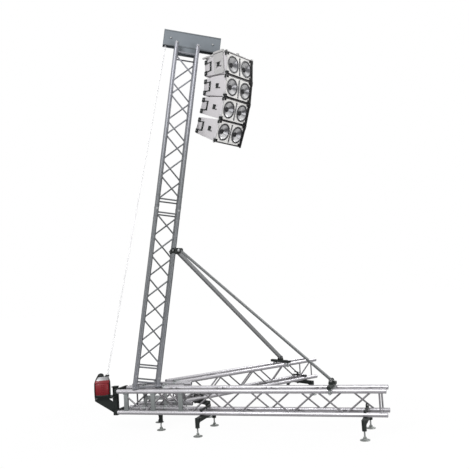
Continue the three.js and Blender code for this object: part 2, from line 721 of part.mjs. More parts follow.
// Centres of the sheaves in the tower's frame, and the points where the chain leaves them.
const frontAxis = place(mastFrame, sheave.frontX, 0, sheave.z);
const rearAxis = place(mastFrame, sheave.rearX, 0, sheave.z);
const fallX = frontAxis.x + sheave.pitchRadius;
const hoistMouth = vec(hoistMouthX, 0, hoist.coverZ + chainHalf / 4);
const toAxis = rearAxis.clone().sub(hoistMouth);
const rearRunAngle = Math.atan2(toAxis.x, toAxis.z) - Math.asin(sheave.pitchRadius / toAxis.length());
const rearTangent = vec(
  rearAxis.x - sheave.pitchRadius * Math.cos(rearRunAngle),
  0,
  rearAxis.z + sheave.pitchRadius * Math.sin(rearRunAngle),
);
const fallTop = vec(fallX, 0, frontAxis.z);

// The points of the chain from the hoist's mouth over the two sheaves.
function liftRunPoints() {
  const arc = (axis, fromAngle, toAngle) => {
    const points = [];
    for (let step = 0; step <= chain.arcSteps; step += 1) {
      const angle = fromAngle + (toAngle - fromAngle) * step / chain.arcSteps;
      const x = axis.x + sheave.pitchRadius * Math.cos(angle);
      points.push(vec(x, 0, axis.z + sheave.pitchRadius * Math.sin(angle)));
    }
    return points;
  };
  const topAngle = Math.PI / 2 - radians(mastLean);
  return [hoistMouth, ...arc(rearAxis, Math.PI - rearRunAngle, topAngle), ...arc(frontAxis, topAngle, 0)];
}

// Sweeps the chain's section along points in the plane Y = 0, with one ring at each point.
function sweep(points) {
  const outline = chainSection().getPoints();
  const count = outline.length;
  const vertices = [];
  points.forEach((point, index) => {
    const before = points[Math.max(index - 1, 0)];
    const after = points[Math.min(index + 1, points.length - 1)];
    const along = after.clone().sub(before).normalize();
    outline.forEach(({ x, y }) => vertices.push(point.x + along.z * x, y, point.z - along.x * x));
  });
  const faces = [];
  for (let ring = 0; ring + 1 < points.length; ring += 1) {
    for (let corner = 0; corner < count; corner += 1) {
      const next = (corner + 1) % count;
      const a = ring * count + corner;
      const b = ring * count + next;
      faces.push(a, b, b + count, a, b + count, a + count);
    }
  }
  const caps = THREE.ShapeUtils.triangulateShape(outline, []);
  const last = (points.length - 1) * count;
  caps.forEach(([a, b, c]) => faces.push(c, b, a, last + a, last + b, last + c));
  const geometry = new THREE.BufferGeometry();
  geometry.setAttribute('position', new THREE.Float32BufferAttribute(vertices, 3));
  geometry.setIndex(faces);
  geometry.computeVertexNormals();
  return geometry;
}

function makeChain() {
  piece(tower, 'chain_lift_run', sweep(liftRunPoints()), 'steel');
  const fallLow = vec(fallX, 0, fallTop.z - fallLength);
  piece(tower, 'chain_front_fall', sweep([vec(fallX, 0, fallTop.z - chain.endGap), fallLow]), 'steel');
}

// Chain end with its swivel, the flying frame and the cabinets, in a frame that faces the listeners.
const arrayFrame = new THREE.Group();
arrayFrame.position.set(fallX, 0, 0);
arrayFrame.rotation.z = radians(heading);
tower.add(arrayFrame);
const yokeTopZ = fallTop.z - fallLength - fit;
const yokeLowZ = yokeTopZ - yoke.depth;
const seatZ = yokeLowZ + yoke.floor;
const eyeLowZ = yokeLowZ - stemEye.depth - stem.radius;
const frameTopZ = eyeLowZ - fit;
const frameLowZ = frameTopZ - flyFrame.depth;
const arrayTopZ = frameLowZ - cabinetDrop;
const wedgeSlope = Math.tan(radians(cabinet.wedge));
const cabinetHalf = cabinet.width / 2;
const earInnerY = cabinetHalf + fit;
const earMidY = earInnerY + sidePlate.thickness;
const earOuterY = earMidY + fit + sidePlate.thickness;

// Each driver fills its half of the front panel, between the horn slot and the panel's edge.
const panelHalf = cabinetHalf - baffle.border - fit;
const roomAcross = panelHalf - hornSlot.half;
const roomUp = cabinet.height - 2 * (baffle.border + fit);
const driverY = (panelHalf + hornSlot.half) / 2;
const driverRadius = Math.min(roomAcross, roomUp) / 2 - driver.margin;
const driverBore = driverRadius - driver.rim;

function makeLift() {
  const body = block(
    vec(-yoke.width / 2, -yoke.half, yokeLowZ),
    vec(yoke.width / 2, yoke.half, yokeTopZ),
  );
  const windowCut = block(
    vec(-yoke.width, -yoke.windowHalf, seatZ),
    vec(yoke.width, yoke.windowHalf, seatZ + yoke.windowDepth),
  );
  const hole = rod(vec(0, 0, yokeLowZ - overrun), vec(0, 0, seatZ + overrun), stem.holeRadius, stem.sides);
  piece(tower, 'chain_yoke', carve(body, [windowCut, hole]), 'black').position.x = fallX;
  const eyeTopZ = eyeLowZ + stemEye.depth;
  piece(arrayFrame, 'swivel_stem', weld([
    rod(vec(0, 0, eyeTopZ - stem.radius), vec(0, 0, seatZ + fit + stem.headDepth), stem.radius, stem.sides),
    rod(vec(0, 0, seatZ + fit), vec(0, 0, seatZ + fit + stem.headDepth), stem.headRadius, stem.sides),
    block(
      vec(-stemEye.half, -stemEye.thickness / 2, eyeLowZ),
      vec(stemEye.half, stemEye.thickness / 2, eyeTopZ),
    ),
  ]), 'steel');
}

function makeFlyFrame() {
  const frontX = cabinetSetForward;
  const rearX = cabinetSetForward - cabinet.depth;
  const railOuter = earMidY;
  const pinAt = vec(-sidePlate.hingeInset, 0, cabinet.gap / 2);
  pinAt.applyAxisAngle(vec(0, 1, 0), radians(firstTilt));
  const pinX = frontX + pinAt.x;
  const pinZ = arrayTopZ + pinAt.z;
  const bars = [block(
    vec(rearX, -flyFrame.spineHalf, frameLowZ),
    vec(frontX - flyFrame.setback, flyFrame.spineHalf, frameTopZ),
  )];
  [rearX + flyFrame.setback, frontX - flyFrame.setback - flyFrame.crossWidth].forEach((x) => {
    bars.push(block(vec(x, -railOuter, frameLowZ), vec(x + flyFrame.crossWidth, railOuter, frameTopZ)));
  });
  [-1, 1].forEach((side) => {
    const inner = side * (railOuter - flyFrame.railWidth);
    const outer = side * railOuter;
    bars.push(block(
      vec(rearX, Math.min(inner, outer), frameLowZ),
      vec(frontX, Math.max(inner, outer), frameTopZ),
    ));
    bars.push(rod(
      vec(pinX, side * earInnerY, pinZ),
      vec(pinX, side * (earOuterY + hingeRod.proud), pinZ),
      hingeRod.radius,
      hingeRod.sides,
    ));
  });
  piece(arrayFrame, 'fly_frame', weld(bars), 'galvanised');
}

// A cabinet, its origin at the middle of its front top edge and its front facing +X.
function cabinetSolid() {
  const { width, height, depth, sideDepth, rearInset } = cabinet;
  const side = plate([
    [0, 0],
    [0, -height],
    [-depth, -height + depth * wedgeSlope],
    [-depth, -depth * wedgeSlope],
  ], -width / 2, width / 2);
  const plan = slab([
    [0, -cabinetHalf],
    [0, cabinetHalf],
    [-sideDepth, cabinetHalf],
    [-depth, cabinetHalf - rearInset],
    [-depth, -cabinetHalf + rearInset],
    [-sideDepth, -cabinetHalf],
  ], -height, 0);
  const baffleHalf = cabinetHalf - baffle.border;
  const recess = block(
    vec(-baffle.recess, -baffleHalf, -height + baffle.border),
    vec(overrun, baffleHalf, -baffle.border),
  );
  const slot = block(
    vec(-hornSlot.depth, -hornSlot.half, -height + hornSlot.inset),
    vec(overrun, hornSlot.half, -hornSlot.inset),
  );
  const bores = [-1, 1].map((side) => rod(
    vec(-baffle.recess - driver.depth - fit, side * driverY, -height / 2),
    vec(overrun, side * driverY, -height / 2),
    driverBore,
    driver.sides,
  ));
  const grooves = [cabinet.gap / 2, -height - cabinet.gap / 2].map((z) => rod(
    vec(-sidePlate.hingeInset, -width, z),
    vec(-sidePlate.hingeInset, width, z),
    hingeRod.grooveRadius,
    hingeRod.sides,
  ));
  return carve(side.intersect(plan), [recess, slot, ...bores, ...grooves]);
}

// The front panel with its two drivers and the horn slot between them.
function bafflePanel() {
  const backX = -baffle.recess + fit;
  const frontX = backX + baffle.thickness;
  const panel = block(
    vec(backX, -panelHalf, -cabinet.height + baffle.border + fit),
    vec(frontX, panelHalf, -baffle.border - fit),
  );
  const slot = block(
    vec(backX - overrun, -hornSlot.half, -cabinet.height + hornSlot.inset),
    vec(frontX + overrun, hornSlot.half, -hornSlot.inset),
  );
  const parts = [panel];
  const hollows = [slot];
  const faceX = frontX + driver.flange;
  const coneRadius = driverBore - driver.flange;
  [-1, 1].forEach((side) => {
    const y = side * driverY;
    const z = -cabinet.height / 2;
    parts.push(rod(vec(backX - driver.depth, y, z), vec(frontX, y, z), driverBore - 2 * fit, driver.sides));
    parts.push(rod(vec(backX, y, z), vec(faceX, y, z), driverRadius, driver.sides));
    const geometry = turned([
      [0, driver.capRadius / 2 - driver.coneDepth],
      [driver.capRadius, -driver.coneDepth],
      [coneRadius, 0],
      [coneRadius, overrun],
      [0, overrun],
    ], driver.sides);
    geometry.applyMatrix4(new THREE.Matrix4().makeBasis(vec(0, 1, 0), vec(0, 0, 1), vec(1, 0, 0)));
    geometry.translate(faceX, y, z);
    hollows.push(solidFrom(geometry));
  });
  return carve(weld(parts), hollows);
}

// Black rigging: a bar with ears on each side, and the hinge rod across the cabinet that joins them.
function riggingSolid() {
  const { height, gap } = cabinet;
  const hingeX = -sidePlate.hingeInset;
  const topZ = gap / 2;
  const lowZ = -height - gap / 2;
  const [left, right] = [hingeX - sidePlate.width / 2, hingeX + sidePlate.width / 2];
  const rodReach = earOuterY + hingeRod.proud;
  const rodEnds = [-rodReach, rodReach].map((y) => vec(hingeX, y, lowZ));
  const parts = [rod(...rodEnds, hingeRod.radius, hingeRod.sides)];
  const holes = [];
  [-1, 1].forEach((side) => {
    const strip = (fromY, toY, fromZ, toZ) => block(
      vec(left, Math.min(side * fromY, side * toY), fromZ),
      vec(right, Math.max(side * fromY, side * toY), toZ),
    );
    const disc = (fromY, toY, z, radius) => rod(
      vec(hingeX, side * fromY, z),
      vec(hingeX, side * toY, z),
      radius,
      ear.sides,
    );
    const outerFromY = earMidY + fit;
    parts.push(
      strip(earInnerY, earMidY, lowZ, -sidePlate.step),
      strip(earInnerY, earOuterY, -sidePlate.overlap, -sidePlate.step),
      strip(outerFromY, earOuterY, -sidePlate.overlap, 0),
      disc(outerFromY, earOuterY, topZ, ear.radius),
      disc(earInnerY, earMidY, lowZ, ear.radius),
    );
    holes.push(disc(earMidY, earOuterY + overrun, topZ, hingeRod.radius + 2 * fit));
  });
  return carve(weld(parts), holes);
}

function makeArray() {
  let frame = new THREE.Group();
  frame.position.set(cabinetSetForward, 0, arrayTopZ);
  frame.rotation.y = radians(firstTilt);
  arrayFrame.add(frame);
  for (let index = 0; index <= splays.length; index += 1) {
    const name = `cabinet_${index + 1}`;
    piece(frame, `${name}_enclosure`, cabinetSolid(), 'cabinet');
    piece(frame, `${name}_baffle`, bafflePanel(), 'cone');
    piece(frame, `${name}_rigging`, riggingSolid(), 'black');
    if (index < splays.length) {
      const hinge = new THREE.Group();
      hinge.name = `splay_${index + 1}`;
      hinge.position.set(-sidePlate.hingeInset, 0, -cabinet.height - cabinet.gap / 2);
      hinge.rotation.y = radians(splays[index]);
      frame.add(hinge);
      frame = new THREE.Group();
      frame.position.set(sidePlate.hingeInset, 0, -cabinet.gap / 2);
      hinge.add(frame);
    }
  }
}

function makeHoist() {
  const { rear, front, half, chamfer } = hoist;
  const outline = [
    [rear + chamfer, -half],
    [front - chamfer, -half],
    [front, -half + chamfer],
    [front, half - chamfer],
    [front - chamfer, half],
    [rear + chamfer, half],
    [rear, half - chamfer],
    [rear, -half + chamfer],
  ];
  piece(tower, 'hoist_case', slab(outline, hoist.underZ, hoist.shoulderZ), 'red');
  const lowZ = hoist.shoulderZ + fit;
  const along = plate([
    [rear, lowZ],
    [front, lowZ],
    [cover.front, hoist.coverZ],
    [cover.rear, hoist.coverZ],
  ], -half, half);
  const across = crosswisePlate([
    [-half, lowZ],
    [half, lowZ],
    [cover.half, hoist.coverZ],
    [-cover.half, hoist.coverZ],
  ], rear, front);
  const domeGeometry = turned([
    [0, 0],
    [cap.radius, 0],
    [cap.radius, cap.rise / 3],
    [cap.radius * Math.cos(Math.PI / 5), cap.rise * 3 / 4],
    [cap.radius / 3, cap.rise],
    [0, cap.rise],
  ], cap.sides);
  domeGeometry.translate(cap.x, 0, hoist.coverZ - fit);
  piece(tower, 'hoist_cover', along.intersect(across).add(solidFrom(domeGeometry)), 'silver');

  const postHalf = post.width / 2;
  const parts = [
    block(
      vec(post.x - postHalf, post.y - postHalf, post.footZ),
      vec(post.x + postHalf, post.y + postHalf, post.topZ),
    ),
    block(
      vec(post.x - post.capWidth / 2, post.y - post.capWidth / 2, post.topZ),
      vec(post.x + postHalf, post.y + post.capWidth / 2, post.topZ + post.capRise),
    ),
  ].concat([bottomChordZ, topChordZ].map((z) => block(
    vec(nearLeg.from - fit - backPlate.thickness, -halfGauge - backPlate.overhang, z - backPlate.depth / 2),
    vec(nearLeg.from - fit, halfGauge + backPlate.overhang, z + backPlate.depth / 2),
  )));
  const shelfTopZ = hoist.underZ - fit;
  const shelfLowZ = shelfTopZ - shelf.thickness;
  const tray = block(vec(shelf.rear, -shelf.half, shelfLowZ), vec(shelf.front, shelf.half, shelfTopZ));
  const ribs = [-shelf.ribY, shelf.ribY].map((y) => {
    const [fromY, toY] = [y - shelf.ribThickness / 2, y + shelf.ribThickness / 2];
    const outer = plate([
      [shelf.rear, shelfTopZ - fit],
      [shelf.rear, shelfLowZ - shelf.edgeDepth],
      [rib.toeX, rib.footZ],
      [shelf.front, rib.footZ],
      [shelf.front, shelfTopZ - fit],
    ], fromY, toY);
    const holeTopZ = shelfLowZ - rib.holeInset;
    const hole = plate([
      [rib.holeX - rib.holeWidth, holeTopZ],
      [rib.holeX, holeTopZ - rib.holeDepth],
      [rib.holeX, holeTopZ],
    ], fromY - overrun, toY + overrun);
    return outer.subtract(hole);
  });
  const nearToTower = nearFrame.matrixWorld;
  const placed = parts.map((solid) => solidFrom(toGeometry(solid).applyMatrix4(nearToTower)));
  piece(tower, 'hoist_bracket', weld([...placed, tray, ...ribs]), 'black');
}

makeLegs();
makeCouplers();
makeArms();
makeMast();
makeBraces();
makeHead();
makeChain();
makeLift();
makeFlyFrame();
makeArray();
makeHoist();

// The tower stands over the origin, at the middle of the ground that it covers.
tower.updateMatrixWorld(true);
const bounds = new THREE.Box3().setFromObject(tower, true);
const group = new THREE.Group();
tower.position.set(-(bounds.min.x + bounds.max.x) / 2, -(bounds.min.y + bounds.max.y) / 2, -bounds.min.z);
group.add(tower);

export default group;
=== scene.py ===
from math import asin, atan2, cos, hypot, pi, radians, sin, tan

import bmesh
import bpy
from mathutils import Matrix, Vector


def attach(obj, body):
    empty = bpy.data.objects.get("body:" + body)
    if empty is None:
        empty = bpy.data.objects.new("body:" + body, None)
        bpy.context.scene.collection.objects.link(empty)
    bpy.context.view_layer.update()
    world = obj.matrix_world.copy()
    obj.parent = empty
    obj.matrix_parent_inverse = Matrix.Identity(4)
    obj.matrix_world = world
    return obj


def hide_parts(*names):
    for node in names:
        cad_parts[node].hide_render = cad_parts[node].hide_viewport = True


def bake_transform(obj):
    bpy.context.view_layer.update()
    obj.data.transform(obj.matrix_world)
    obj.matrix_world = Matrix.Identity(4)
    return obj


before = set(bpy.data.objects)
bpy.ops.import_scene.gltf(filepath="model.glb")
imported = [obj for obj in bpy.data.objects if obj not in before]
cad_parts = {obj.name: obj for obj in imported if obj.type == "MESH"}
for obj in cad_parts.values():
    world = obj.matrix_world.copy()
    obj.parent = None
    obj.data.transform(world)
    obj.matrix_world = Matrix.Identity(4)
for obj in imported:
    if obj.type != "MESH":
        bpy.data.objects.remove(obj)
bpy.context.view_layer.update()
scene = bpy.context.scene
scene.view_settings.view_transform = "Standard"

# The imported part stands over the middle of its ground, so the tower's own zero is off to one side.
# All lengths are metres, and angles are degrees where nothing else is said.
towerX = -1.085958
apexX = -0.131
legAngle = 28
mastFoot = (towerX + 0.133, 0, 0.509)
mastLean = 9.6


def turn(angle, axis):
    return Matrix.Rotation(radians(angle), 4, axis)


def move(x, y, z):
    return Matrix.Translation((x, y, z))


# A frame from its three axes
def axes(x, y, z):
    return Matrix((x, y, z)).transposed().to_4x4()


rowFrame = Matrix.Identity(4)
towerFrame = move(towerX, 0, 0)
nearFrame = move(towerX + apexX, 0, 0) @ turn(-legAngle, "Z")
farFrame = move(towerX + apexX, 0, 0) @ turn(legAngle, "Z")
mastFrame = move(*mastFoot) @ turn(mastLean, "Y")


# Camera, with its three angles in radians
camera = {
    "place": (-1.080681, -7.735568, 1.64261),
    "yaw": 0.167354,
    "pitch": 0.078902,
    "roll": -0.058679,
    "lens": 48.131,
    "sensor": 36,
    "farEnd": 100,
}


def makeCamera():
    yaw, pitch, roll = camera["yaw"], camera["pitch"], camera["roll"]
    level = Vector((sin(yaw), cos(yaw), 0))
    right = Vector((cos(yaw), -sin(yaw), 0))
    forward = level * cos(pitch) + Vector((0, 0, sin(pitch)))
    up = Vector((0, 0, cos(pitch))) - level * sin(pitch)
    rolledRight = right * cos(roll) + up * sin(roll)
    rolledUp = up * cos(roll) - right * sin(roll)
    data = bpy.data.cameras.new("camera")
    data.lens = camera["lens"]
    data.sensor_width = camera["sensor"]
    data.clip_end = camera["farEnd"]
    eye = bpy.data.objects.new("camera", data)
    eye.matrix_world = move(*camera["place"]) @ axes(rolledRight, rolledUp, -forward)
    scene.collection.objects.link(eye)
    scene.camera = eye


makeCamera()
print("camera set")


# Node helpers. An input is a value, or the socket that feeds it. Settings are the node's own fields.
def feed(tree, node, inputs):
    for socket, value in inputs.items():
        if isinstance(value, bpy.types.NodeSocket):
            tree.links.new(value, node.inputs[socket])
        else:
            node.inputs[socket].default_value = value


def addNode(tree, kind, inputs, **settings):
    node = tree.nodes.new(kind)
    for field, value in settings.items():
        setattr(node, field, value)
    feed(tree, node, inputs)
    return node


def addMath(tree, operation, first, second):
    return addNode(tree, "ShaderNodeMath", {0: first, 1: second}, operation=operation).outputs[0]


def startMaterial(name):
    material = bpy.data.materials.new(name)
    material.use_nodes = True
    tree = material.node_tree
    where = addNode(tree, "ShaderNodeTexCoord", {}).outputs["Object"]
    return material, tree, tree.nodes["Principled BSDF"], where


def noise(tree, where, scale, detail, roughness=0.55):
    place = addNode(tree, "ShaderNodeMapping", {"Vector": where}).outputs["Vector"]
    inputs = {"Vector": place, "Scale": scale, "Detail": detail, "Roughness": roughness}
    return addNode(tree, "ShaderNodeTexNoise", inputs).outputs["Fac"]


def spread(tree, value, low, high, toLow=0, toHigh=1):
    inputs = {"Value": value, "From Min": low, "From Max": high, "To Min": toLow, "To Max": toHigh}
    return addNode(tree, "ShaderNodeMapRange", inputs).outputs["Result"]


def mixColours(tree, share, first, second):
    first, second = ((*colour, 1) if isinstance(colour, tuple) else colour for colour in (first, second))
    return addNode(tree, "ShaderNodeMix", {0: share, 6: first, 7: second}, data_type="RGBA").outputs[2]


def bump(tree, height, strength, distance, **under):
    inputs = {"Height": height, "Strength": strength, "Distance": distance, **under}
    return addNode(tree, "ShaderNodeBump", inputs).outputs["Normal"]


# Bare or plated metal: the tint wanders, fine grain, handling marks that turn it duller, and where asked a
# painted light that makes it paler towards given heights.
metal = {
    "tintScale": 7, "tintRange": (0.35, 0.7), "dullShare": 0.3,
    "markScale": 38, "markRange": (0.58, 0.72), "markRoughness": 0.7,
    "sheenScale": 60, "sheenRange": (0.3, 0.7),
    "grainScale": 240, "grainDepth": 0.0004, "swayScale": 18, "swayDepth": 0.002,
    # Painted light: paler towards the top and the foot of a tall part, in these bands.
    "paintedLightHeights": ((2.9, 4.4, 1), (1.5, 0.55, 0.55)),  # from, to and how much, along z
}


def metalFinish(name, bright, dull, metallic, rough, marks=0.6, dimple=0.15, pale=None, sway=0.08):
    material, tree, shader, where = startMaterial(name)
    duller = tuple(a * (1 - metal["dullShare"]) + b * metal["dullShare"] for a, b in zip(bright, dull))
    broad = spread(tree, noise(tree, where, metal["tintScale"], 4), *metal["tintRange"])
    base = mixColours(tree, broad, bright, duller)
    # Painted light: paler along given heights.
    if pale:
        split = addNode(tree, "ShaderNodeSeparateXYZ", {0: where})
        for low, high, most in metal["paintedLightHeights"]:
            base = mixColours(tree, spread(tree, split.outputs["Z"], low, high, 0, most), base, pale)
    marking = noise(tree, where, metal["markScale"], 5, metal["markRoughness"])
    spots = spread(tree, marking, *metal["markRange"], 0, marks)
    sheen = noise(tree, where, metal["sheenScale"], 4)
    waves = bump(tree, noise(tree, where, metal["swayScale"], 2), sway, metal["swayDepth"])
    grain = noise(tree, where, metal["grainScale"], 2)
    feed(tree, shader, {
        "Base Color": mixColours(tree, spots, base, dull),
        "Roughness": spread(tree, sheen, *metal["sheenRange"], *rough),
        "Normal": bump(tree, grain, dimple, metal["grainDepth"], Normal=waves),
        "Metallic": metallic,
    })
    return material


# Paint or powder coat: orange peel, a little dust, chips that show what is under it.
paint = {
    "dustScale": 5, "dustRange": (0.4, 0.75), "paleShare": 0.82, "paleLift": 0.12,
    "chipScale": 70, "chipRoughness": 0.75, "chipEdge": 0.03,
    "sheenScale": 30, "sheenRange": (0.3, 0.7), "peelDepth": 0.0005,
}


def paintFinish(
    name, colour, chip, rough=(0.35, 0.5), peel=420, depth=0.25, chips=0.66, dust=0.12, coat=0.0, shine=0.5,
):
    material, tree, shader, where = startMaterial(name)
    pale = tuple(min(1, c * paint["paleShare"] + paint["paleLift"]) for c in colour)
    broad = spread(tree, noise(tree, where, paint["dustScale"], 4), *paint["dustRange"], 0, dust)
    worn = noise(tree, where, paint["chipScale"], 6, paint["chipRoughness"])
    chipped = spread(tree, worn, chips, chips + paint["chipEdge"])
    sheen = noise(tree, where, paint["sheenScale"], 4)
    feed(tree, shader, {
        "Base Color": mixColours(tree, chipped, mixColours(tree, broad, colour, pale), chip),
        "Roughness": spread(tree, sheen, *paint["sheenRange"], *rough),
        "Normal": bump(tree, noise(tree, where, peel, 2), depth, paint["peelDepth"]),
        "Coat Weight": coat,
        "Specular IOR Level": shine,
    })
    return material


# Spun metal with painted highlight fans: a painted reflection, bright along one line through the axis and dark
# across it. Each point carries its direction from the axis.
spun = {
    "paintedFanWay": (-0.26, 0.97, 0), "paintedFanRange": (0.42, 0.95), "metallic": 0.4, "rough": (0.18, 0.3),
    "speckScale": 90, "speckRange": (0.4, 0.7), "speckShare": 0.35,
    "sheenScale": 50, "sheenRange": (0.3, 0.7), "grainScale": 300, "grainShare": 0.1, "grainDepth": 0.0003,
}


def paintedFanFinish(name, bright, dull):
    material, tree, shader, where = startMaterial(name)
    spin = addNode(tree, "ShaderNodeAttribute", {}, attribute_name="spin").outputs["Vector"]
    inputs = {0: spin, 1: spun["paintedFanWay"]}
    facing = addNode(tree, "ShaderNodeVectorMath", inputs, operation="DOT_PRODUCT").outputs["Value"]
    size = addNode(tree, "ShaderNodeMath", {0: facing}, operation="ABSOLUTE").outputs[0]
    specks = noise(tree, where, spun["speckScale"], 3)
    speckled = mixColours(tree, spread(tree, specks, *spun["speckRange"], 0, spun["speckShare"]), bright, dull)
    sheen = noise(tree, where, spun["sheenScale"], 3)
    grain = noise(tree, where, spun["grainScale"], 2)
    feed(tree, shader, {
        # Painted reflection: bright fans where a point's direction from the axis lies along the fan way, dark
        # across it.
        "Base Color": mixColours(tree, spread(tree, size, *spun["paintedFanRange"]), dull, speckled),
        "Roughness": spread(tree, sheen, *spun["sheenRange"], *spun["rough"]),
        "Normal": bump(tree, grain, spun["grainShare"], spun["grainDepth"]),
        "Metallic": spun["metallic"],
    })
    return material


# Each finish has the record's slot that it stands for.
chipGrey = (0.3, 0.31, 0.32)
finishes = {
    "tube": ("truss_aluminium", metalFinish(
        "drawnAluminium", (0.5, 0.49, 0.515), (0.36, 0.355, 0.375), 0.6, (0.26, 0.34), 0.15, 0.03, sway=0.02)),
    "rod": ("truss_aluminium", metalFinish(
        "lacingAluminium", (0.21, 0.203, 0.215), (0.13, 0.126, 0.134), 0.6, (0.28, 0.45))),
    "weld": ("truss_aluminium", metalFinish(
        "weldBead", (0.33, 0.335, 0.345), (0.2, 0.205, 0.21), 0.7, (0.4, 0.6), dimple=0.5)),
    "post": ("truss_aluminium", metalFinish(
        "stoutPostGrey", (0.22, 0.235, 0.235), (0.14, 0.15, 0.148), 0.4, (0.4, 0.55))),
    # The two braces are one aluminium in a dark and a light copy: painted shade on the near brace, painted
    # light on the far one.
    "nearBrace": ("truss_aluminium", metalFinish(
        "nearBraceShadedAluminium", (0.1, 0.105, 0.107), (0.07, 0.073, 0.075), 0.35, (0.45, 0.55), 0.3, 0.04,
        sway=0.02)),
    "farBrace": ("truss_aluminium", metalFinish(
        "farBraceLitAluminium", (0.26, 0.265, 0.27), (0.18, 0.185, 0.19), 0.35, (0.45, 0.55), 0.3, 0.04,
        sway=0.02)),
    # The mast's grey pales towards its top and its foot: painted light.
    "mast": ("mast_paint", metalFinish(
        "mastGrey", (0.12, 0.126, 0.133), (0.08, 0.085, 0.09), 0.4, (0.38, 0.5), 0.3, 0.05,
        pale=(0.24, 0.244, 0.272), sway=0.03)),
    "mastRod": ("mast_paint", metalFinish(
        "mastRodGrey", (0.12, 0.127, 0.132), (0.075, 0.08, 0.083), 0.4, (0.4, 0.55), 0.4,
        pale=(0.22, 0.225, 0.25))),
    "mastWeld": ("mast_paint", metalFinish(
        "mastWeld", (0.13, 0.137, 0.142), (0.08, 0.085, 0.09), 0.5, (0.5, 0.65), dimple=0.5)),
    "head": ("head_paint", paintFinish("headGrey", (0.148, 0.168, 0.188), chipGrey, chips=0.7, coat=0.1)),
    # The flanges are a darker copy of the head's paint: painted shade along the beam's edges.
    "headEdgeShade": ("head_paint", paintFinish("headFlange", (0.11, 0.124, 0.137), chipGrey, chips=0.7)),
    "black": ("black_steel", paintFinish(
        "blackPowderCoat", (0.012, 0.015, 0.014), (0.2, 0.2, 0.2), (0.42, 0.6), chips=0.69, dust=0.02,
        shine=0.22)),
    "zinc": ("galvanised_steel", metalFinish(
        "galvanised", (0.42, 0.435, 0.44), (0.24, 0.25, 0.25), 0.6, (0.35, 0.55), 0.9)),
    "pad": ("galvanised_steel", metalFinish(
        "jackZinc", (0.27, 0.285, 0.275), (0.14, 0.15, 0.145), 0.55, (0.35, 0.55), 0.9)),
    "fly": ("galvanised_steel", metalFinish(
        "flyingZinc", (0.4, 0.395, 0.395), (0.26, 0.255, 0.255), 0.4, (0.4, 0.55), 0.7)),
    "steel": ("bright_steel", metalFinish(
        "plainSteel", (0.4, 0.405, 0.41), (0.2, 0.2, 0.2), 0.9, (0.25, 0.45))),
    "chain": ("bright_steel", metalFinish(
        "chainSteel", (0.85, 0.85, 0.86), (0.6, 0.6, 0.61), 0.3, (0.3, 0.5))),
    "red": ("hoist_red", paintFinish(
        "hoistRed", (0.17, 0.008, 0.013), (0.3, 0.3, 0.3), (0.35, 0.5), coat=0.08, dust=0.02, shine=0.25)),
    "silver": ("hoist_silver", metalFinish(
        "castSilver", (0.2, 0.2, 0.205), (0.12, 0.12, 0.125), 0.7, (0.35, 0.5), dimple=0.4)),
    "cabinet": ("cabinet_paint", paintFinish(
        "cabinetPaint", (0.48, 0.465, 0.48), (0.35, 0.34, 0.35), (0.5, 0.65), 160, 0.6, 0.72)),
    "panel": ("driver_front", paintFinish(
        "driverPanel", (0.93, 0.92, 0.9), (0.5, 0.5, 0.5), (0.45, 0.6), 200, 0.4, 0.74)),
    # Cones with painted highlight fans.
    "cone": ("driver_front", paintedFanFinish("silverConePaintedFans", (0.86, 0.86, 0.87), (0.13, 0.13, 0.14))),
    "basket": ("driver_front", metalFinish(
        "driverFrame", (0.25, 0.25, 0.26), (0.16, 0.16, 0.17), 0.6, (0.35, 0.5), 0.4)),
    "surround": ("driver_front", paintFinish(
        "rubberSurround", (0.02, 0.02, 0.022), (0.1, 0.1, 0.1), (0.4, 0.55), 500, 0.2, 0.8, shine=0.3)),
    # Near-black for the trim and vanes, and also painted shade in the horn's throat and along the cabinets'
    # feet.
    "dark": ("black_steel", paintFinish(
        "blackTrimAndPaintedShade", (0.006, 0.006, 0.007), (0.02, 0.02, 0.02), (0.6, 0.8), 300, 0.3, 0.8, 0.02, shine=0.15)),
}
print("finishes made")


# Mesh tools. Each adds one closed shape to a bmesh, and place is a matrix into the row frame.
def pour(bm, part):
    mesh = bpy.data.meshes.new("part")
    part.to_mesh(mesh)
    part.free()
    bm.from_mesh(mesh)
    bpy.data.meshes.remove(mesh)


def roundEdges(part, edges, offset, segments=2, profile=0.6):
    bmesh.ops.bevel(part, geom=edges, offset=offset, segments=segments, profile=profile, affect="EDGES")


def addBlock(bm, low, high, place=rowFrame, edge=0.002):
    part = bmesh.new()
    bmesh.ops.create_cube(part, size=1)
    low, high = Vector(low), Vector(high)
    size = high - low
    fitted = Matrix.Translation((low + high) / 2) @ Matrix.Diagonal((*size, 1))
    bmesh.ops.transform(part, matrix=fitted, verts=part.verts)
    roundEdges(part, part.edges[:], min(edge, min(size) * 0.3))
    bmesh.ops.transform(part, matrix=place, verts=part.verts)
    pour(bm, part)


# Profile points are (radius, height) round the place's own z. A loop joins the last to the first.
def addTurned(bm, profile, place=rowFrame, sides=32, loop=False):
    rings = []
    for radius, height in profile:
        angles = [2 * pi * step / sides for step in range(sides)] if radius else [0]
        spots = [place @ Vector((radius * cos(a), radius * sin(a), height)) for a in angles]
        rings.append([bm.verts.new(spot) for spot in spots])
    pairs = list(zip(rings, rings[1:]))
    if loop:
        pairs.append((rings[-1], rings[0]))
    for low, high in pairs:
        for step in range(sides):
            after = (step + 1) % sides
            ring = (
                low[step % len(low)], low[after % len(low)], high[after % len(high)], high[step % len(high)],
            )
            bm.faces.new(list(dict.fromkeys(ring)))


def along(start, end):
    start, end = Vector(start), Vector(end)
    return Matrix.Translation(start) @ (end - start).to_track_quat("Z", "Y").to_matrix().to_4x4()


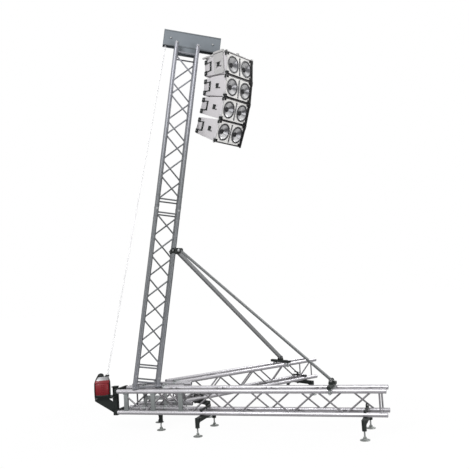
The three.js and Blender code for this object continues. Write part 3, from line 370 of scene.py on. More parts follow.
def addTube(bm, start, end, outer, inner=0.0, place=rowFrame, sides=24, edge=0.0012):
    length = (Vector(end) - Vector(start)).length
    wall = [(outer - edge, 0), (outer, edge), (outer, length - edge), (outer - edge, length)]
    addTurned(bm, [(inner, 0), *wall, (inner, length)], place @ along(start, end), sides, loop=inner > 0)


# A rod or sleeve along y, from one y to another, at (x, z) of the place
def addCrossTube(bm, spot, first, second, outer, inner=0.0, place=rowFrame, sides=16):
    x, z = spot
    addTube(bm, (x, first, z), (x, second, z), outer, inner, place, sides)


# A plate from a flat outline of (x, y) points with holes, thick along the place's own z.
def addPlate(bm, outline, low, high, place=rowFrame, holes=(), edge=0.001):
    part = bmesh.new()
    for ring in [outline, *holes]:
        points = [part.verts.new((x, y, low)) for x, y in ring]
        for first, second in zip(points, points[1:] + points[:1]):
            part.edges.new((first, second))
    bmesh.ops.triangle_fill(part, use_beauty=True, use_dissolve=False, edges=part.edges[:])
    raised = bmesh.ops.extrude_face_region(part, geom=part.faces[:])
    moved = [item for item in raised["geom"] if isinstance(item, bmesh.types.BMVert)]
    bmesh.ops.translate(part, vec=(0, 0, high - low), verts=moved)
    bmesh.ops.recalc_face_normals(part, faces=part.faces[:])
    if edge:
        rims = [e for e in part.edges if len(e.link_faces) == 2 and e.calc_face_angle(0) > 0.5]
        roundEdges(part, rims, edge, 1, 0.5)
    bmesh.ops.transform(part, matrix=place, verts=part.verts)
    pour(bm, part)


# An upright plate from an outline of (x, z) points, thick from one y to another
def addUpright(bm, outline, first, second, place, holes=(), edge=0.001):
    upright = Matrix(((1, 0, 0, 0), (0, 0, -1, 0), (0, 1, 0, 0), (0, 0, 0, 1)))
    low, high = sorted((first, second))
    addPlate(bm, outline, -high, -low, place @ upright, holes, edge)


# A plate across the place, from an outline of (y, z) points, thick from one x to another
def addCrosswise(bm, outline, low, high, place, holes=(), edge=0.001):
    facing = Matrix(((0, 0, 1, 0), (1, 0, 0, 0), (0, 1, 0, 0), (0, 0, 0, 1)))
    addPlate(bm, outline, low, high, place @ facing, holes, edge)


def box(low, high):
    return [low, (high[0], low[1]), high, (low[0], high[1])]


def circle(x, y, radius, sides=20, start=0.0, sweep=2 * pi):
    count = sides if sweep == 2 * pi else sides + 1
    angles = [start + sweep * step / sides for step in range(count)]
    return [(x + radius * cos(angle), y + radius * sin(angle)) for angle in angles]


# The four corners of a square section, as (x, y)
def corners(half):
    return [(x, y) for x in (-half, half) for y in (-half, half)]


# A box section tube along the place's own z, with rounded corners and an open bore.
def addSection(bm, half, wall, length, place, corner=0.006, slim=0.0):
    steps = 4

    def ring(reach, radius):
        points = []
        for quarter in range(4):
            middle = pi / 4 + quarter * pi / 2
            cx = (reach - slim - radius) * (1 if cos(middle) > 0 else -1)
            cy = (reach - radius) * (1 if sin(middle) > 0 else -1)
            points += circle(cx, cy, radius, steps, quarter * pi / 2, pi / 2)
        return points

    inner, outer = (half - wall, corner - wall / 2), (half, corner)
    rings = [
        [bm.verts.new(place @ Vector((x, y, z))) for x, y in ring(*sizes)]
        for sizes, z in ((inner, 0), (outer, 0), (outer, length), (inner, length))
    ]
    count = len(rings[0])
    for low, high in zip(rings, rings[1:] + rings[:1]):
        for step in range(count):
            after = (step + 1) % count
            bm.faces.new((low[step], low[after], high[after], high[step]))


def finishPiece(bm, name, finish, body="tower", nodes=(), smooth=35):
    piece = bm
    if isinstance(bm, bmesh.types.BMesh):
        mesh = bpy.data.meshes.new(name)
        bm.to_mesh(mesh)
        bm.free()
        mesh.materials.append(finishes[finish][1])
        piece = bpy.data.objects.new(name, mesh)
        scene.collection.objects.link(piece)
    piece.data.polygons.foreach_set("use_smooth", [True] * len(piece.data.polygons))
    piece.data.set_sharp_from_angle(angle=radians(smooth))
    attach(piece, body)
    if nodes:
        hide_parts(*nodes)


# Node trees that set one shape on many points. The points carry a direction and a roll.
def startTree(name, inputs):
    tree = bpy.data.node_groups.new(name, "GeometryNodeTree")
    interface = tree.interface
    interface.new_socket(name="Geometry", in_out="INPUT", socket_type="NodeSocketGeometry")
    for label, value in inputs.items():
        interface.new_socket(name=label, in_out="INPUT", socket_type="NodeSocketFloat").default_value = value
    interface.new_socket(name="Material", in_out="INPUT", socket_type="NodeSocketMaterial")
    interface.new_socket(name="Geometry", in_out="OUTPUT", socket_type="NodeSocketGeometry")
    return tree, tree.nodes.new("NodeGroupInput").outputs


def endTree(tree, entry, shape):
    whole = addNode(tree, "GeometryNodeRealizeInstances", {"Geometry": shape}).outputs["Geometry"]
    painted = addNode(tree, "GeometryNodeSetMaterial", {"Geometry": whole, "Material": entry["Material"]})
    addNode(tree, "NodeGroupOutput", {"Geometry": painted.outputs["Geometry"]})
    return tree


def scatter(tree, entry, shape, axis):
    def carried(name, kind):
        stored = addNode(tree, "GeometryNodeInputNamedAttribute", {"Name": name}, data_type=kind)
        return stored.outputs["Attribute"]

    way = {"Vector": carried("direction", "FLOAT_VECTOR")}
    align = addNode(tree, "FunctionNodeAlignRotationToVector", way, axis=axis)
    rolling = {"Axis": (1, 0, 0) if axis == "X" else (0, 0, 1), "Angle": carried("roll", "FLOAT")}
    spin = addNode(tree, "FunctionNodeAxisAngleToRotation", rolling)
    turns = {"Rotation": align.outputs["Rotation"], "Rotate By": spin.outputs["Rotation"]}
    both = addNode(tree, "FunctionNodeRotateRotation", turns, rotation_space="LOCAL")
    inputs = {"Points": entry["Geometry"], "Instance": shape, "Rotation": both.outputs["Rotation"]}
    placed = addNode(tree, "GeometryNodeInstanceOnPoints", inputs)
    return endTree(tree, entry, placed.outputs["Instances"])


def sweepCircle(tree, curve, radius, sides):
    ring = addNode(tree, "GeometryNodeCurvePrimitiveCircle", {"Resolution": sides, "Radius": radius})
    inputs = {"Curve": curve, "Profile Curve": ring.outputs["Curve"], "Fill Caps": True}
    return addNode(tree, "GeometryNodeCurveToMesh", inputs).outputs["Mesh"]


def lacingTree():
    tree, entry = startTree("lacingRods", {"Rod Radius": 0.0095})
    path = addNode(tree, "GeometryNodeMeshToCurve", {"Mesh": entry["Geometry"]}).outputs["Curve"]
    return endTree(tree, entry, sweepCircle(tree, path, entry["Rod Radius"], 12))


def beadTree():
    tree, entry = startTree("weldBeads", {"Ring Radius": 0.0105, "Bead Radius": 0.0028})
    inputs = {"Resolution": 12, "Radius": entry["Ring Radius"]}
    ring = addNode(tree, "GeometryNodeCurvePrimitiveCircle", inputs).outputs["Curve"]
    return scatter(tree, entry, sweepCircle(tree, ring, entry["Bead Radius"], 6), "Z")


def boltTree():
    sizes = {"Head Radius": 0.009, "Head Depth": 0.007, "Washer Radius": 0.012, "Washer Depth": 0.003}
    tree, entry = startTree("hexBolts", sizes)

    def disc(sides, radius, depth, lift):
        inputs = {"Vertices": sides, "Radius": radius, "Depth": depth}
        disc = addNode(tree, "GeometryNodeMeshCylinder", inputs).outputs["Mesh"]
        shift = addNode(tree, "ShaderNodeCombineXYZ", {"Z": lift}).outputs["Vector"]
        raised = addNode(tree, "GeometryNodeTransform", {"Geometry": disc, "Translation": shift})
        return raised.outputs["Geometry"]

    half = addMath(tree, "MULTIPLY", entry["Head Depth"], 0.5)
    join = addNode(tree, "GeometryNodeJoinGeometry", {})
    for shape in (
        disc(6, entry["Head Radius"], entry["Head Depth"], half),
        disc(20, entry["Washer Radius"], entry["Washer Depth"], 0.0),
    ):
        tree.links.new(shape, join.inputs[0])
    return scatter(tree, entry, join.outputs[0], "Z")


def linkTree():
    tree, entry = startTree("chainLinks", {"Link Length": 0.028, "Link Width": 0.017, "Wire Radius": 0.0035})
    inputs = {"Width": entry["Link Length"], "Height": entry["Link Width"]}
    outline = addNode(tree, "GeometryNodeCurvePrimitiveQuadrilateral", inputs).outputs["Curve"]
    almostHalf = addMath(tree, "MULTIPLY", entry["Link Width"], 0.49)
    inputs = {"Curve": outline, "Count": 4, "Radius": almostHalf}
    rounded = addNode(tree, "GeometryNodeFilletCurve", inputs, mode="POLY").outputs["Curve"]
    return scatter(tree, entry, sweepCircle(tree, rounded, entry["Wire Radius"], 7), "X")


def threadTree():
    sizes = {"Thread Radius": 0.009, "Thread Height": 0.13, "Turns": 26.0, "Thread Wire": 0.0016}
    tree, entry = startTree("screwThread", sizes)
    inputs = {"Resolution": 14, "Height": entry["Thread Height"], "Rotations": entry["Turns"]}
    for end in ("Start Radius", "End Radius"):
        inputs[end] = entry["Thread Radius"]
    spiral = addNode(tree, "GeometryNodeCurveSpiral", inputs).outputs["Curve"]
    return scatter(tree, entry, sweepCircle(tree, spiral, entry["Thread Wire"], 4), "Z")


def bladeTree():
    tree, entry = startTree("thinBlades", {"Blade Length": 0.05, "Blade Width": 0.02, "Blade Depth": 0.002})
    inputs = {"X": entry["Blade Length"], "Y": entry["Blade Width"], "Z": entry["Blade Depth"]}
    size = addNode(tree, "ShaderNodeCombineXYZ", inputs).outputs["Vector"]
    blade = addNode(tree, "GeometryNodeMeshCube", {"Size": size}).outputs["Mesh"]
    return scatter(tree, entry, blade, "Z")


trees = {
    "lacing": lacingTree(),
    "bead": beadTree(),
    "bolt": boltTree(),
    "link": linkTree(),
    "thread": threadTree(),
    "blade": bladeTree(),
}


def growTree(mesh, name, tree, finish, values, body="tower", nodes=()):
    carrier = bpy.data.objects.new(name, mesh)
    scene.collection.objects.link(carrier)
    modifier = carrier.modifiers.new("grow", "NODES")
    modifier.node_group = trees[tree]
    items = trees[tree].interface.items_tree
    sockets = {item.name: item.identifier for item in items if item.in_out == "INPUT"}
    for label, value in values.items():
        modifier[sockets[label]] = value
    modifier[sockets["Material"]] = finishes[finish][1]
    bpy.context.view_layer.update()
    evaluated = carrier.evaluated_get(bpy.context.evaluated_depsgraph_get())
    grown = bpy.data.meshes.new_from_object(evaluated)
    carrier.modifiers.remove(modifier)
    carrier.data = grown
    for attribute in ("direction", "roll"):
        if attribute in grown.attributes:
            grown.attributes.remove(grown.attributes[attribute])
    finishPiece(carrier, name, finish, body, nodes)


def growOnPoints(points, name, tree, finish, values, body="tower", nodes=()):
    mesh = bpy.data.meshes.new(name)
    mesh.from_pydata([tuple(point) for point, _, _ in points], [], [])
    direction = mesh.attributes.new("direction", "FLOAT_VECTOR", "POINT")
    direction.data.foreach_set("vector", [c for _, way, _ in points for c in way.normalized()])
    roll = mesh.attributes.new("roll", "FLOAT", "POINT")
    roll.data.foreach_set("value", [float(r) for _, _, r in points])
    growTree(mesh, name, tree, finish, values, body, nodes)


# A point for a tree: its spot and its way in a place's frame, and its roll about that way
def mark(points, place, spot, way, roll=0):
    points.append((place @ Vector(spot), place.to_3x3() @ Vector(way), roll))


# Head radius, head depth and washer radius of each kind of bolt or nut
boltSizes = {
    "structural": (0.0095, 0.0075, 0.012),
    "bracket": (0.0095, 0.007, 0.0125),
    "coupler": (0.009, 0.007, 0.0115),
    "brace": (0.0125, 0.007, 0.0155),
    "axle": (0.015, 0.007, 0.018),
    "rivet": (0.004, 0.002, 0.005),
    "hoist": (0.0045, 0.003, 0.0065),
    "rigging": (0.006, 0.004, 0.0085),
    "driver": (0.0028, 0.002, 0.0042),
}


def growBolts(points, name, kind, finish="steel", body="tower", nodes=()):
    values = dict(zip(("Head Radius", "Head Depth", "Washer Radius"), boltSizes[kind]))
    growOnPoints(points, name, "bolt", finish, values, body, nodes)


print("node trees built")


# Load chain: links from the hoist over both sheaves, and the fall that stretches with the array.
sheave = {"front": 0.32, "rear": -0.215, "z": 4.3, "pitch": 0.05, "axle": 0.01}
hoistMouth = (-0.322, 0, 0.643)
chain = {"pitch": 0.021, "length": 0.0275, "width": 0.0165, "wire": 0.0035, "firstLink": 0.004, "arcSteps": 24}
frontAxis, rearAxis = (mastFrame @ Vector((sheave[end], 0, sheave["z"])) for end in ("front", "rear"))
fallX = frontAxis.x + sheave["pitch"]


# Spots at an even pitch along a path, each with the way of its stretch
def walk(points, pitch, start):
    placed, travelled, wanted = [], 0.0, start
    for first, second in zip(points, points[1:]):
        span = (second - first).length
        while wanted <= travelled + span:
            placed.append((first.lerp(second, (wanted - travelled) / span), second - first))
            wanted += pitch
        travelled += span
    return placed


def makeChain():
    reach, steps = sheave["pitch"], chain["arcSteps"]

    def arc(axis, start, end):
        angles = [start + (end - start) * step / steps for step in range(steps + 1)]
        return [axis + Vector((reach * cos(angle), 0, reach * sin(angle))) for angle in angles]

    mouth = towerFrame @ Vector(hoistMouth)
    toAxis = rearAxis - mouth
    runAngle = atan2(toAxis.x, toAxis.z) - asin(reach / toAxis.length)
    top = pi / 2 - radians(mastLean)
    path = [mouth, *arc(rearAxis, pi - runAngle, top), *arc(frontAxis, top, 0)]
    placed = walk(path, chain["pitch"], chain["firstLink"])
    points = [(spot, way, pi / 2 * (index % 2)) for index, (spot, way) in enumerate(placed)]
    sizes = {"Link Length": chain["length"], "Link Width": chain["width"], "Wire Radius": chain["wire"]}
    growOnPoints(points, "chainRun", "link", "chain", sizes, nodes=["chain_lift_run"])


# The fall's links lie closed up inside the head at rest. Weights along the piece are the blend's own
# smooth step, so each link is set where that step gives an even spacing once the array is low.
fall = {"top": 4.6935, "low": 4.6375, "travel": 3.3, "linkSteps": 20, "wireSides": 7, "halvings": 40}


def closedShare(depth):
    height, travel = fall["top"] - fall["low"], fall["travel"]
    low, high = 0.0, 1.0
    for _ in range(fall["halvings"]):
        middle = (low + high) / 2
        moved = middle * height + travel * middle * middle * (3 - 2 * middle)
        low, high = (middle, high) if moved < depth else (low, middle)
    return (low + high) / 2


# Rings round the wire of one upright link, as (across, through, up) from its middle
def linkRings():
    steps, sides, wire = fall["linkSteps"], fall["wireSides"], chain["wire"]
    half, straight = chain["width"] / 2, (chain["length"] - chain["width"]) / 2
    swings = [2 * pi * side / sides for side in range(sides)]
    rings = []
    for step in range(steps):
        angle = 2 * pi * step / steps
        up = sin(angle) * half
        if step % (steps // 2):
            up += straight if sin(angle) > 0 else -straight
        rings.append([
            (cos(angle) * (half + cos(s) * wire), sin(s) * wire, up + sin(angle) * cos(s) * wire)
            for s in swings
        ])
    return rings


def makeFall():
    height = fall["top"] - fall["low"]
    full = height + fall["travel"]
    count = int(full / chain["pitch"])
    bm = bmesh.new()

    def lay(point, centre, crossed):
        across, through, up = point
        depth = min(max(centre - up, 0), full)
        x, y = (across, through) if crossed else (through, across)
        return bm.verts.new((fallX + x, y, fall["top"] - closedShare(depth) * height))

    for index in range(count):
        centre = (index + 0.5) * full / count
        rings = [[lay(point, centre, index % 2) for point in ring] for ring in linkRings()]
        for first, second in zip(rings, rings[1:] + rings[:1]):
            for step in range(len(first)):
                after = (step + 1) % len(first)
                bm.faces.new((first[step], second[step], second[after], first[after]))
    mesh = bpy.data.meshes.new("chainFall")
    bm.to_mesh(mesh)
    bm.free()
    mesh.materials.append(finishes["chain"][1])
    mesh.polygons.foreach_set("use_smooth", [True] * len(mesh.polygons))
    piece = bpy.data.objects.new("chainFall", mesh)
    scene.collection.objects.link(piece)
    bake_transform(piece)
    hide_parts("chain_front_fall")


makeChain()
makeFall()
print("chain hung")


# Trusses: four drawn tubes, one zigzag of rods on each face, a bead at each end of each rod.
stock = {
    "chord": 0.025, "wall": 0.004, "rod": 0.0095, "bead": 0.0028, "beadRing": 0.0103, "leastSlant": 0.3,
    "collar": 0.0265, "collarBore": 0.024, "collarDepth": 0.006, "collarInsets": (0.004, 0.052),
}


def trussParts(spec, half, point, place):
    around = [(-half, -half), (-half, half), (half, half), (half, -half)]
    chords = [(point(spec["from"], *corner), point(spec["to"], *corner)) for corner in around]
    rods = []
    for corner, after in zip(around, around[1:] + around[:1]):
        for wave in range(spec["waves"]):
            start = spec["firstNode"] + wave * spec["halfWave"]
            first, second = (corner, after) if wave % 2 else (after, corner)
            rods.append((point(start, *first), point(start + spec["halfWave"], *second)))
        for at in spec["rungs"]:
            rods.append((point(at, *corner), point(at, *after)))
    return [[(place @ Vector(a), place @ Vector(b)) for a, b in pairs] for pairs in (chords, rods)]


def makeTruss(name, spec, half, point, place, finish, node, addRings=None):
    chords, rods = trussParts(spec, half, point, place)
    tubeFinish, rodFinish, weldFinish = finish
    bm = bmesh.new()
    for start, end in chords:
        addTube(bm, start, end, stock["chord"], stock["chord"] - stock["wall"], sides=32)
        way = (end - start).normalized()
        for tip, inward in ((start, way), (end, -way)):
            for inset in () if addRings else stock["collarInsets"]:
                at = tip + inward * inset
                beyond = at + inward * stock["collarDepth"]
                addTube(bm, at, beyond, stock["collar"], stock["collarBore"], sides=32)
    if addRings:
        addRings(bm)
    finishPiece(bm, f"{name}Tubes", tubeFinish, nodes=[node])

    mesh = bpy.data.meshes.new(f"{name}Lacing")
    ends = [tuple(end) for rod in rods for end in rod]
    mesh.from_pydata(ends, [(at, at + 1) for at in range(0, len(ends), 2)], [])
    growTree(mesh, f"{name}Lacing", "lacing", rodFinish, {"Rod Radius": stock["rod"]}, nodes=[node])

    axis = (chords[0][1] - chords[0][0]).normalized()
    beads = []
    for start, end in rods:
        way = (end - start).normalized()
        slant = max(stock["leastSlant"], (way - axis * way.dot(axis)).length)
        reach = stock["chord"] / slant
        beads += [(start + way * reach, way, 0), (end - way * reach, way, 0)]
    values = {"Ring Radius": stock["beadRing"], "Bead Radius": stock["bead"]}
    growOnPoints(beads, f"{name}Welds", "bead", weldFinish, values, nodes=[node])


legs = {
    "gauge": 0.12,
    "mid": 0.345,
    "near": {"from": -0.028, "to": 3.072, "firstNode": 0.027, "halfWave": 0.29, "waves": 10, "rungs": [3.0]},
    "centre": {
        "from": -0.024, "to": 0.695, "firstNode": 0.078, "halfWave": 0.26, "waves": 2, "rungs": [0.078, 0.598],
    },
    "far": {
        "from": 0.652, "to": 3.072, "firstNode": 0.752, "halfWave": 0.2775, "waves": 8,
        "rungs": [0.752, 2.972],
    },
    "centreY": 0.296,
}
legLow, legHigh = legs["mid"] - legs["gauge"], legs["mid"] + legs["gauge"]


def makeLegs():
    for name, spec, midY, place, node in (
        ("nearLeg", "near", 0, nearFrame, "near_leg_truss"),
        ("centreTruss", "centre", legs["centreY"], nearFrame, "centre_truss"),
        ("farLeg", "far", 0, farFrame, "far_leg_truss"),
    ):
        def point(at, side, up):
            return (at, midY + side, legs["mid"] + up)

        makeTruss(name, legs[spec], legs["gauge"], point, place, ("tube", "rod", "weld"), node)


# Stout posts between the near leg's chords, each with a band near its foot and head
posts = {
    "first": 0.088, "pitch": 0.345, "count": 3, "width": 0.052, "thickness": 0.03, "edge": 0.004,
    "bandOut": 0.003, "bandDepth": 0.006, "bandHeights": (0.024, 0.21),
}


def makePosts():
    bm = bmesh.new()
    width, thick, out = posts["width"] / 2, posts["thickness"] / 2, posts["bandOut"]
    y = -legs["gauge"]
    for index in range(posts["count"]):
        x = posts["first"] + index * posts["pitch"]
        addBlock(bm, (x - width, y - thick, legLow), (x + width, y + thick, legHigh), nearFrame, posts["edge"])
        for rise in posts["bandHeights"]:
            low = (x - width - out, y - thick - out, legLow + rise)
            high = (x + width + out, y + thick + out, legLow + rise + posts["bandDepth"])
            addBlock(bm, low, high, nearFrame)
    finishPiece(bm, "stoutPosts", "post", nodes=["near_leg_truss"])


makeLegs()
makePosts()
print("legs made")


mast = {
    "half": 0.133,
    "lower": {"from": -0.02, "to": 2.1546, "firstNode": 0.255, "halfWave": 0.257, "waves": 7,
              "rungs": [0.04, 0.21, 2.071]},
    "upper": {"from": 2.155, "to": 4.23, "firstNode": 2.263, "halfWave": 0.257, "waves": 7,
              "rungs": [2.238, 4.1]},
    "ring": 0.0272, "ringBore": 0.0245, "ringDepth": 0.0115,
    "lowerRings": (2.015, 2.143), "upperRings": (2.1554, 2.283),
}


def makeMast():
    half = mast["half"]

    def addRings(bm, heights):
        for x, y in corners(half):
            for z in heights:
                top = (x, y, z + mast["ringDepth"])
                addTube(bm, (x, y, z), top, mast["ring"], mast["ringBore"], mastFrame, 32)

    for part in ("lower", "upper"):
        makeTruss(
            f"mast{part.title()}", mast[part], half, lambda at, side, up: (up, side, at), mastFrame,
            ("mast", "mastRod", "mastWeld"), f"mast_{part}", lambda bm: addRings(bm, mast[f"{part}Rings"]),
        )


# The mast's base: two bars across, two along, and a spigot with a weld round it under each chord.
base = {
    "top": 0.50235, "thickness": 0.012, "width": 0.07, "sideWidth": 0.046, "sideSunk": 0.0002,
    "rearBar": (-0.235, 0.175), "frontBar": (-0.175, 0.3),
    "spigot": 0.0206, "spigotBore": 0.016, "spigotHeights": (-0.02, 0.15),
    "weld": [(0.0255, 0), (0.031, 0), (0.0275, 0.006), (0.0255, 0.007)],
}


# Where the mast's rear or front chords meet the base's top, from which side of the mast's axis
def mastFootX(side):
    foot = mastFrame @ Vector((side * mast["half"], 0, 0))
    return foot.x + (base["top"] - foot.z) * tan(radians(mastLean))


def makeMastBase():
    bm = bmesh.new()
    top, under, half = base["top"], base["top"] - base["thickness"], mast["half"]
    rear, front = mastFootX(-1), mastFootX(1)
    width, side, sunk = base["width"] / 2, base["sideWidth"] / 2, base["sideSunk"]
    for x, (low, high) in ((rear, base["rearBar"]), (front, base["frontBar"])):
        addBlock(bm, (x - width, low, under), (x + width, high, top))
    for y in (-half, half):
        addBlock(bm, (rear, y - side, under + sunk), (front, y + side, top - sunk))
    low, high = base["spigotHeights"]
    for x, y in corners(half):
        addTube(bm, (x, y, low), (x, y, high), base["spigot"], base["spigotBore"], mastFrame)
        addTurned(bm, base["weld"], move(rear if x < 0 else front, y, top), loop=True)
    finishPiece(bm, "mastBase", "mast", nodes=["mast_base"])


# Bolts through the mast: at its foot and splice here, and at its head with the head beam.
mastBolt = {"radius": 0.006, "shankOut": 0.034, "nutOut": 0.0275, "heights": (0.1, 2.111), "headHeight": 4.212}


def addMastBolts(bm, points, heights):
    half = mast["half"]
    for x in (-half, half):
        for z in heights:
            reach = half + mastBolt["shankOut"]
            addCrossTube(bm, (x, z), -reach, reach, mastBolt["radius"], place=mastFrame)
            for face in (-1, 1):
                mark(points, mastFrame, (x, face * (half + mastBolt["nutOut"]), z), (0, face, 0), 0.3)


def makeMastBolts():
    shanks, bolts = bmesh.new(), []
    addMastBolts(shanks, bolts, mastBolt["heights"])
    nodes = ["foot_bolt_rear", "foot_bolt_front", "splice_bolt_rear", "splice_bolt_front"]
    finishPiece(shanks, "mastBoltShanks", "steel", nodes=nodes)
    growBolts(bolts, "mastBolts", "structural", nodes=nodes)


makeMast()
makeMastBase()
makeMastBolts()
print("mast made")


# Couplers: a split ring round a chord with a lug, a swing bolt and a nut.
coupler = {
    "radius": 0.032, "bore": 0.0252, "width": 0.042, "edge": 0.003,
    "lugFrom": 0.028, "lugTo": 0.046, "lugYs": (-0.011, 0.003), "lugThickness": 0.008, "lugShare": 0.75,
    "bolt": 0.005, "boltX": 0.037, "boltYs": (-0.02, 0.026), "nutY": 0.012,
    "hinge": 0.006, "hingeX": -0.034, "hingeShare": 0.6,
}


def addCoupler(bm, bolts, centre, way, lugWay, place, width=coupler["width"]):
    reach = width / 2
    centre, way, lugWay = Vector(centre), Vector(way).normalized(), Vector(lugWay).normalized()
    start, end = centre - way * reach, centre + way * reach
    addTube(bm, start, end, coupler["radius"], coupler["bore"], place, 32, coupler["edge"])
    local = place @ Matrix.Translation(centre) @ axes(lugWay, way.cross(lugWay), way)
    lugReach, x = reach * coupler["lugShare"], coupler["boltX"]
    for y in coupler["lugYs"]:
        high = (coupler["lugTo"], y + coupler["lugThickness"], lugReach)
        addBlock(bm, (coupler["lugFrom"], y, -lugReach), high, local)
    addCrossTube(bm, (x, 0), *coupler["boltYs"], coupler["bolt"], place=local, sides=12)
    mark(bolts, local, (x, coupler["nutY"], 0), (0, 1, 0))
    hinge = [local @ Vector((coupler["hingeX"], 0, end * reach * coupler["hingeShare"])) for end in (-1, 1)]
    addTube(bm, *hinge, coupler["hinge"], sides=12)


ties = {
    "xs": (0.195, 0.468), "plateHalf": 0.021, "plateThickness": 0.004, "barHalf": 0.025,
    "barThickness": 0.0038, "edge": 0.0015,
}
swivel = {"x": 0.678, "neck": 0.015, "neckShares": (0.3, 0.7), "pin": 0.013}


def makeTies(bolts):
    half, centreY = legs["gauge"], legs["centreY"]
    bm = bmesh.new()
    for z, way in ((legLow, -1), (legHigh, 1)):
        for x in ties["xs"]:
            for y in (half, centreY - half):
                addCoupler(bm, bolts, (x, y, z), (1, 0, 0), (0, 0, way), nearFrame)
    between, thick = centreY / 2, ties["plateThickness"]
    for x in ties["xs"]:
        low, high = x - ties["plateHalf"], x + ties["plateHalf"]
        addBlock(bm, (low, between - thick, legLow), (high, between + thick, legHigh), nearFrame, ties["edge"])
    first, last = ties["xs"]
    thick, mid = ties["barThickness"], legs["mid"]
    low = (first, between - thick, mid - ties["barHalf"])
    addBlock(bm, low, (last, between + thick, mid + ties["barHalf"]), nearFrame, ties["edge"])
    finishPiece(bm, "trussTies", "zinc", nodes=["truss_tie"])


# The far leg swings on two pairs of couplers at the centre truss.
def makeSwivels(bolts):
    half = legs["gauge"]
    bm = bmesh.new()
    farInNear = nearFrame.inverted() @ farFrame
    middles = []
    for z, way in ((legLow, -1), (legHigh, 1)):
        onFar = farInNear @ Vector((swivel["x"], -half, z))
        onCentre = Vector((onFar.x, legs["centreY"] + half, z))
        addCoupler(bm, bolts, (swivel["x"], -half, z), (1, 0, 0), (0, 0, way), farFrame)
        addCoupler(bm, bolts, onCentre, (1, 0, 0), (0, 0, way), nearFrame)
        neck = [onCentre.lerp(onFar, share) for share in swivel["neckShares"]]
        addTube(bm, *neck, swivel["neck"], place=nearFrame, sides=20)
        middles.append((onCentre + onFar) / 2)
    addTube(bm, *middles, swivel["pin"], place=nearFrame, sides=20)
    finishPiece(bm, "swivelCouplers", "zinc", nodes=["swivel_coupler"])


couplerBolts = []
makeTies(couplerBolts)
makeSwivels(couplerBolts)
growBolts(couplerBolts, "couplerNuts", "coupler")
print("couplers made")


# Cross arms with a barrel at each end
arm = {
    "half": 0.025, "wall": 0.004, "top": 0.19965, "corner": 0.007, "reach": 0.26, "centreReach": 0.219,
    "endInset": 0.018,
    "barrel": 0.024, "barrelBore": 0.0102, "barrelUnder": 0.092, "barrelEdge": 0.002,
    "band": 0.0254, "bandBore": 0.023, "bandInset": 0.001, "bandDepth": 0.005, "bandHeights": (-0.026, 0.02),
    "gussetFrom": 0.02, "gussetTo": 0.09, "gussetFoot": 0.012, "gussetSunk": 0.003, "gussetHalf": 0.004,
    "boss": 0.014, "bossBore": 0.0066, "bossHeights": (-0.0015, 0.004),
}
armUnder = arm["top"] - 2 * arm["half"]


def makeArm(name, place, reach, node, boltYs):
    bm = bmesh.new()
    mid = arm["top"] - arm["half"]
    length = 2 * (reach - arm["endInset"])
    lying = place @ move(0, -length / 2, mid) @ turn(-90, "X")
    addSection(bm, arm["half"], arm["wall"], length, lying, arm["corner"])
    for side in (-1, 1):
        y = side * reach
        low, high = (0, y, arm["barrelUnder"]), (0, y, arm["top"])
        addTube(bm, low, high, arm["barrel"], arm["barrelBore"], place, 32, arm["barrelEdge"])
        near, far = y - side * arm["gussetFrom"], y - side * arm["gussetTo"]
        seat = armUnder + arm["gussetSunk"]
        gusset = [(near, arm["barrelUnder"] + arm["gussetFoot"]), (near, seat), (far, seat), (far, armUnder)]
        addCrosswise(bm, gusset, -arm["gussetHalf"], arm["gussetHalf"], place)
        for rise in arm["bandHeights"]:
            low = Vector((0, y - side * arm["bandInset"], mid + rise))
            high = low + Vector((0, 0, arm["bandDepth"]))
            addTube(bm, low, high, arm["band"], arm["bandBore"], place, 32)
    for y in boltYs:
        low, high = ((0, y, armUnder + rise) for rise in arm["bossHeights"])
        addTube(bm, low, high, arm["boss"], arm["bossBore"], place, 20)
    finishPiece(bm, name, "black", nodes=[node])


# Screw jacks: pad, hub and screw in one profile, a nut over the hub, and the thread.
jack = {
    "profile": [
        (0, 0), (0.049, 0), (0.052, 0.002), (0.052, 0.0065), (0.0495, 0.0085), (0.0416, 0.0095),
        (0.024, 0.0125), (0.02, 0.0165), (0.02, 0.0205), (0.018, 0.0225), (0.0082, 0.0228), (0.0082, 0.1585),
        (0.0067, 0.16), (0, 0.16),
    ],
    "nut": [
        (0.0077, 0.0235), (0.0165, 0.0235), (0.0175, 0.0245), (0.0175, 0.0345), (0.0165, 0.0355),
        (0.0077, 0.0355),
    ],
    "thread": {"Thread Radius": 0.0082, "Thread Height": 0.12, "Turns": 30.0, "Thread Wire": 0.0009},
    "threadFrom": 0.037,
}


def makeJack(name, place, node):
    bm = bmesh.new()
    addTurned(bm, jack["profile"], place, 40)
    addTurned(bm, jack["nut"], place, 6, loop=True)
    finishPiece(bm, f"{name}Screw", "pad", body=node, nodes=[node])
    thread = []
    mark(thread, place, (0, 0, jack["threadFrom"]), (0, 0, 1))
    growOnPoints(thread, f"{name}Thread", "thread", "steel", jack["thread"], body=node, nodes=[node])


# Clamps that hold the arms up: a bar over the lower chords, and a bolt with a T handle.
clamp = {
    "boltY": 0.045, "bolt": 0.006, "reach": 0.15, "half": 0.012, "low": 0.25035, "depth": 0.02, "edge": 0.003,
    "headClear": 0.0124, "handleRise": 0.03, "handleReach": 0.052, "handle": 0.005,
    "nut": [(0.006, 0), (0.0135, 0), (0.0135, 0.009), (0.012, 0.0105), (0.006, 0.0105)],
    "head": [(0, 0), (0.012, 0), (0.0135, 0.0015), (0.0135, 0.0105), (0.006, 0.012), (0, 0.012)],
    "hub": [(0, -0.011), (0.008, -0.009), (0.0105, 0), (0.008, 0.009), (0, 0.011)],
    "knob": [(0, -0.007), (0.005, -0.005), (0.007, 0), (0.005, 0.005), (0, 0.007)],
}


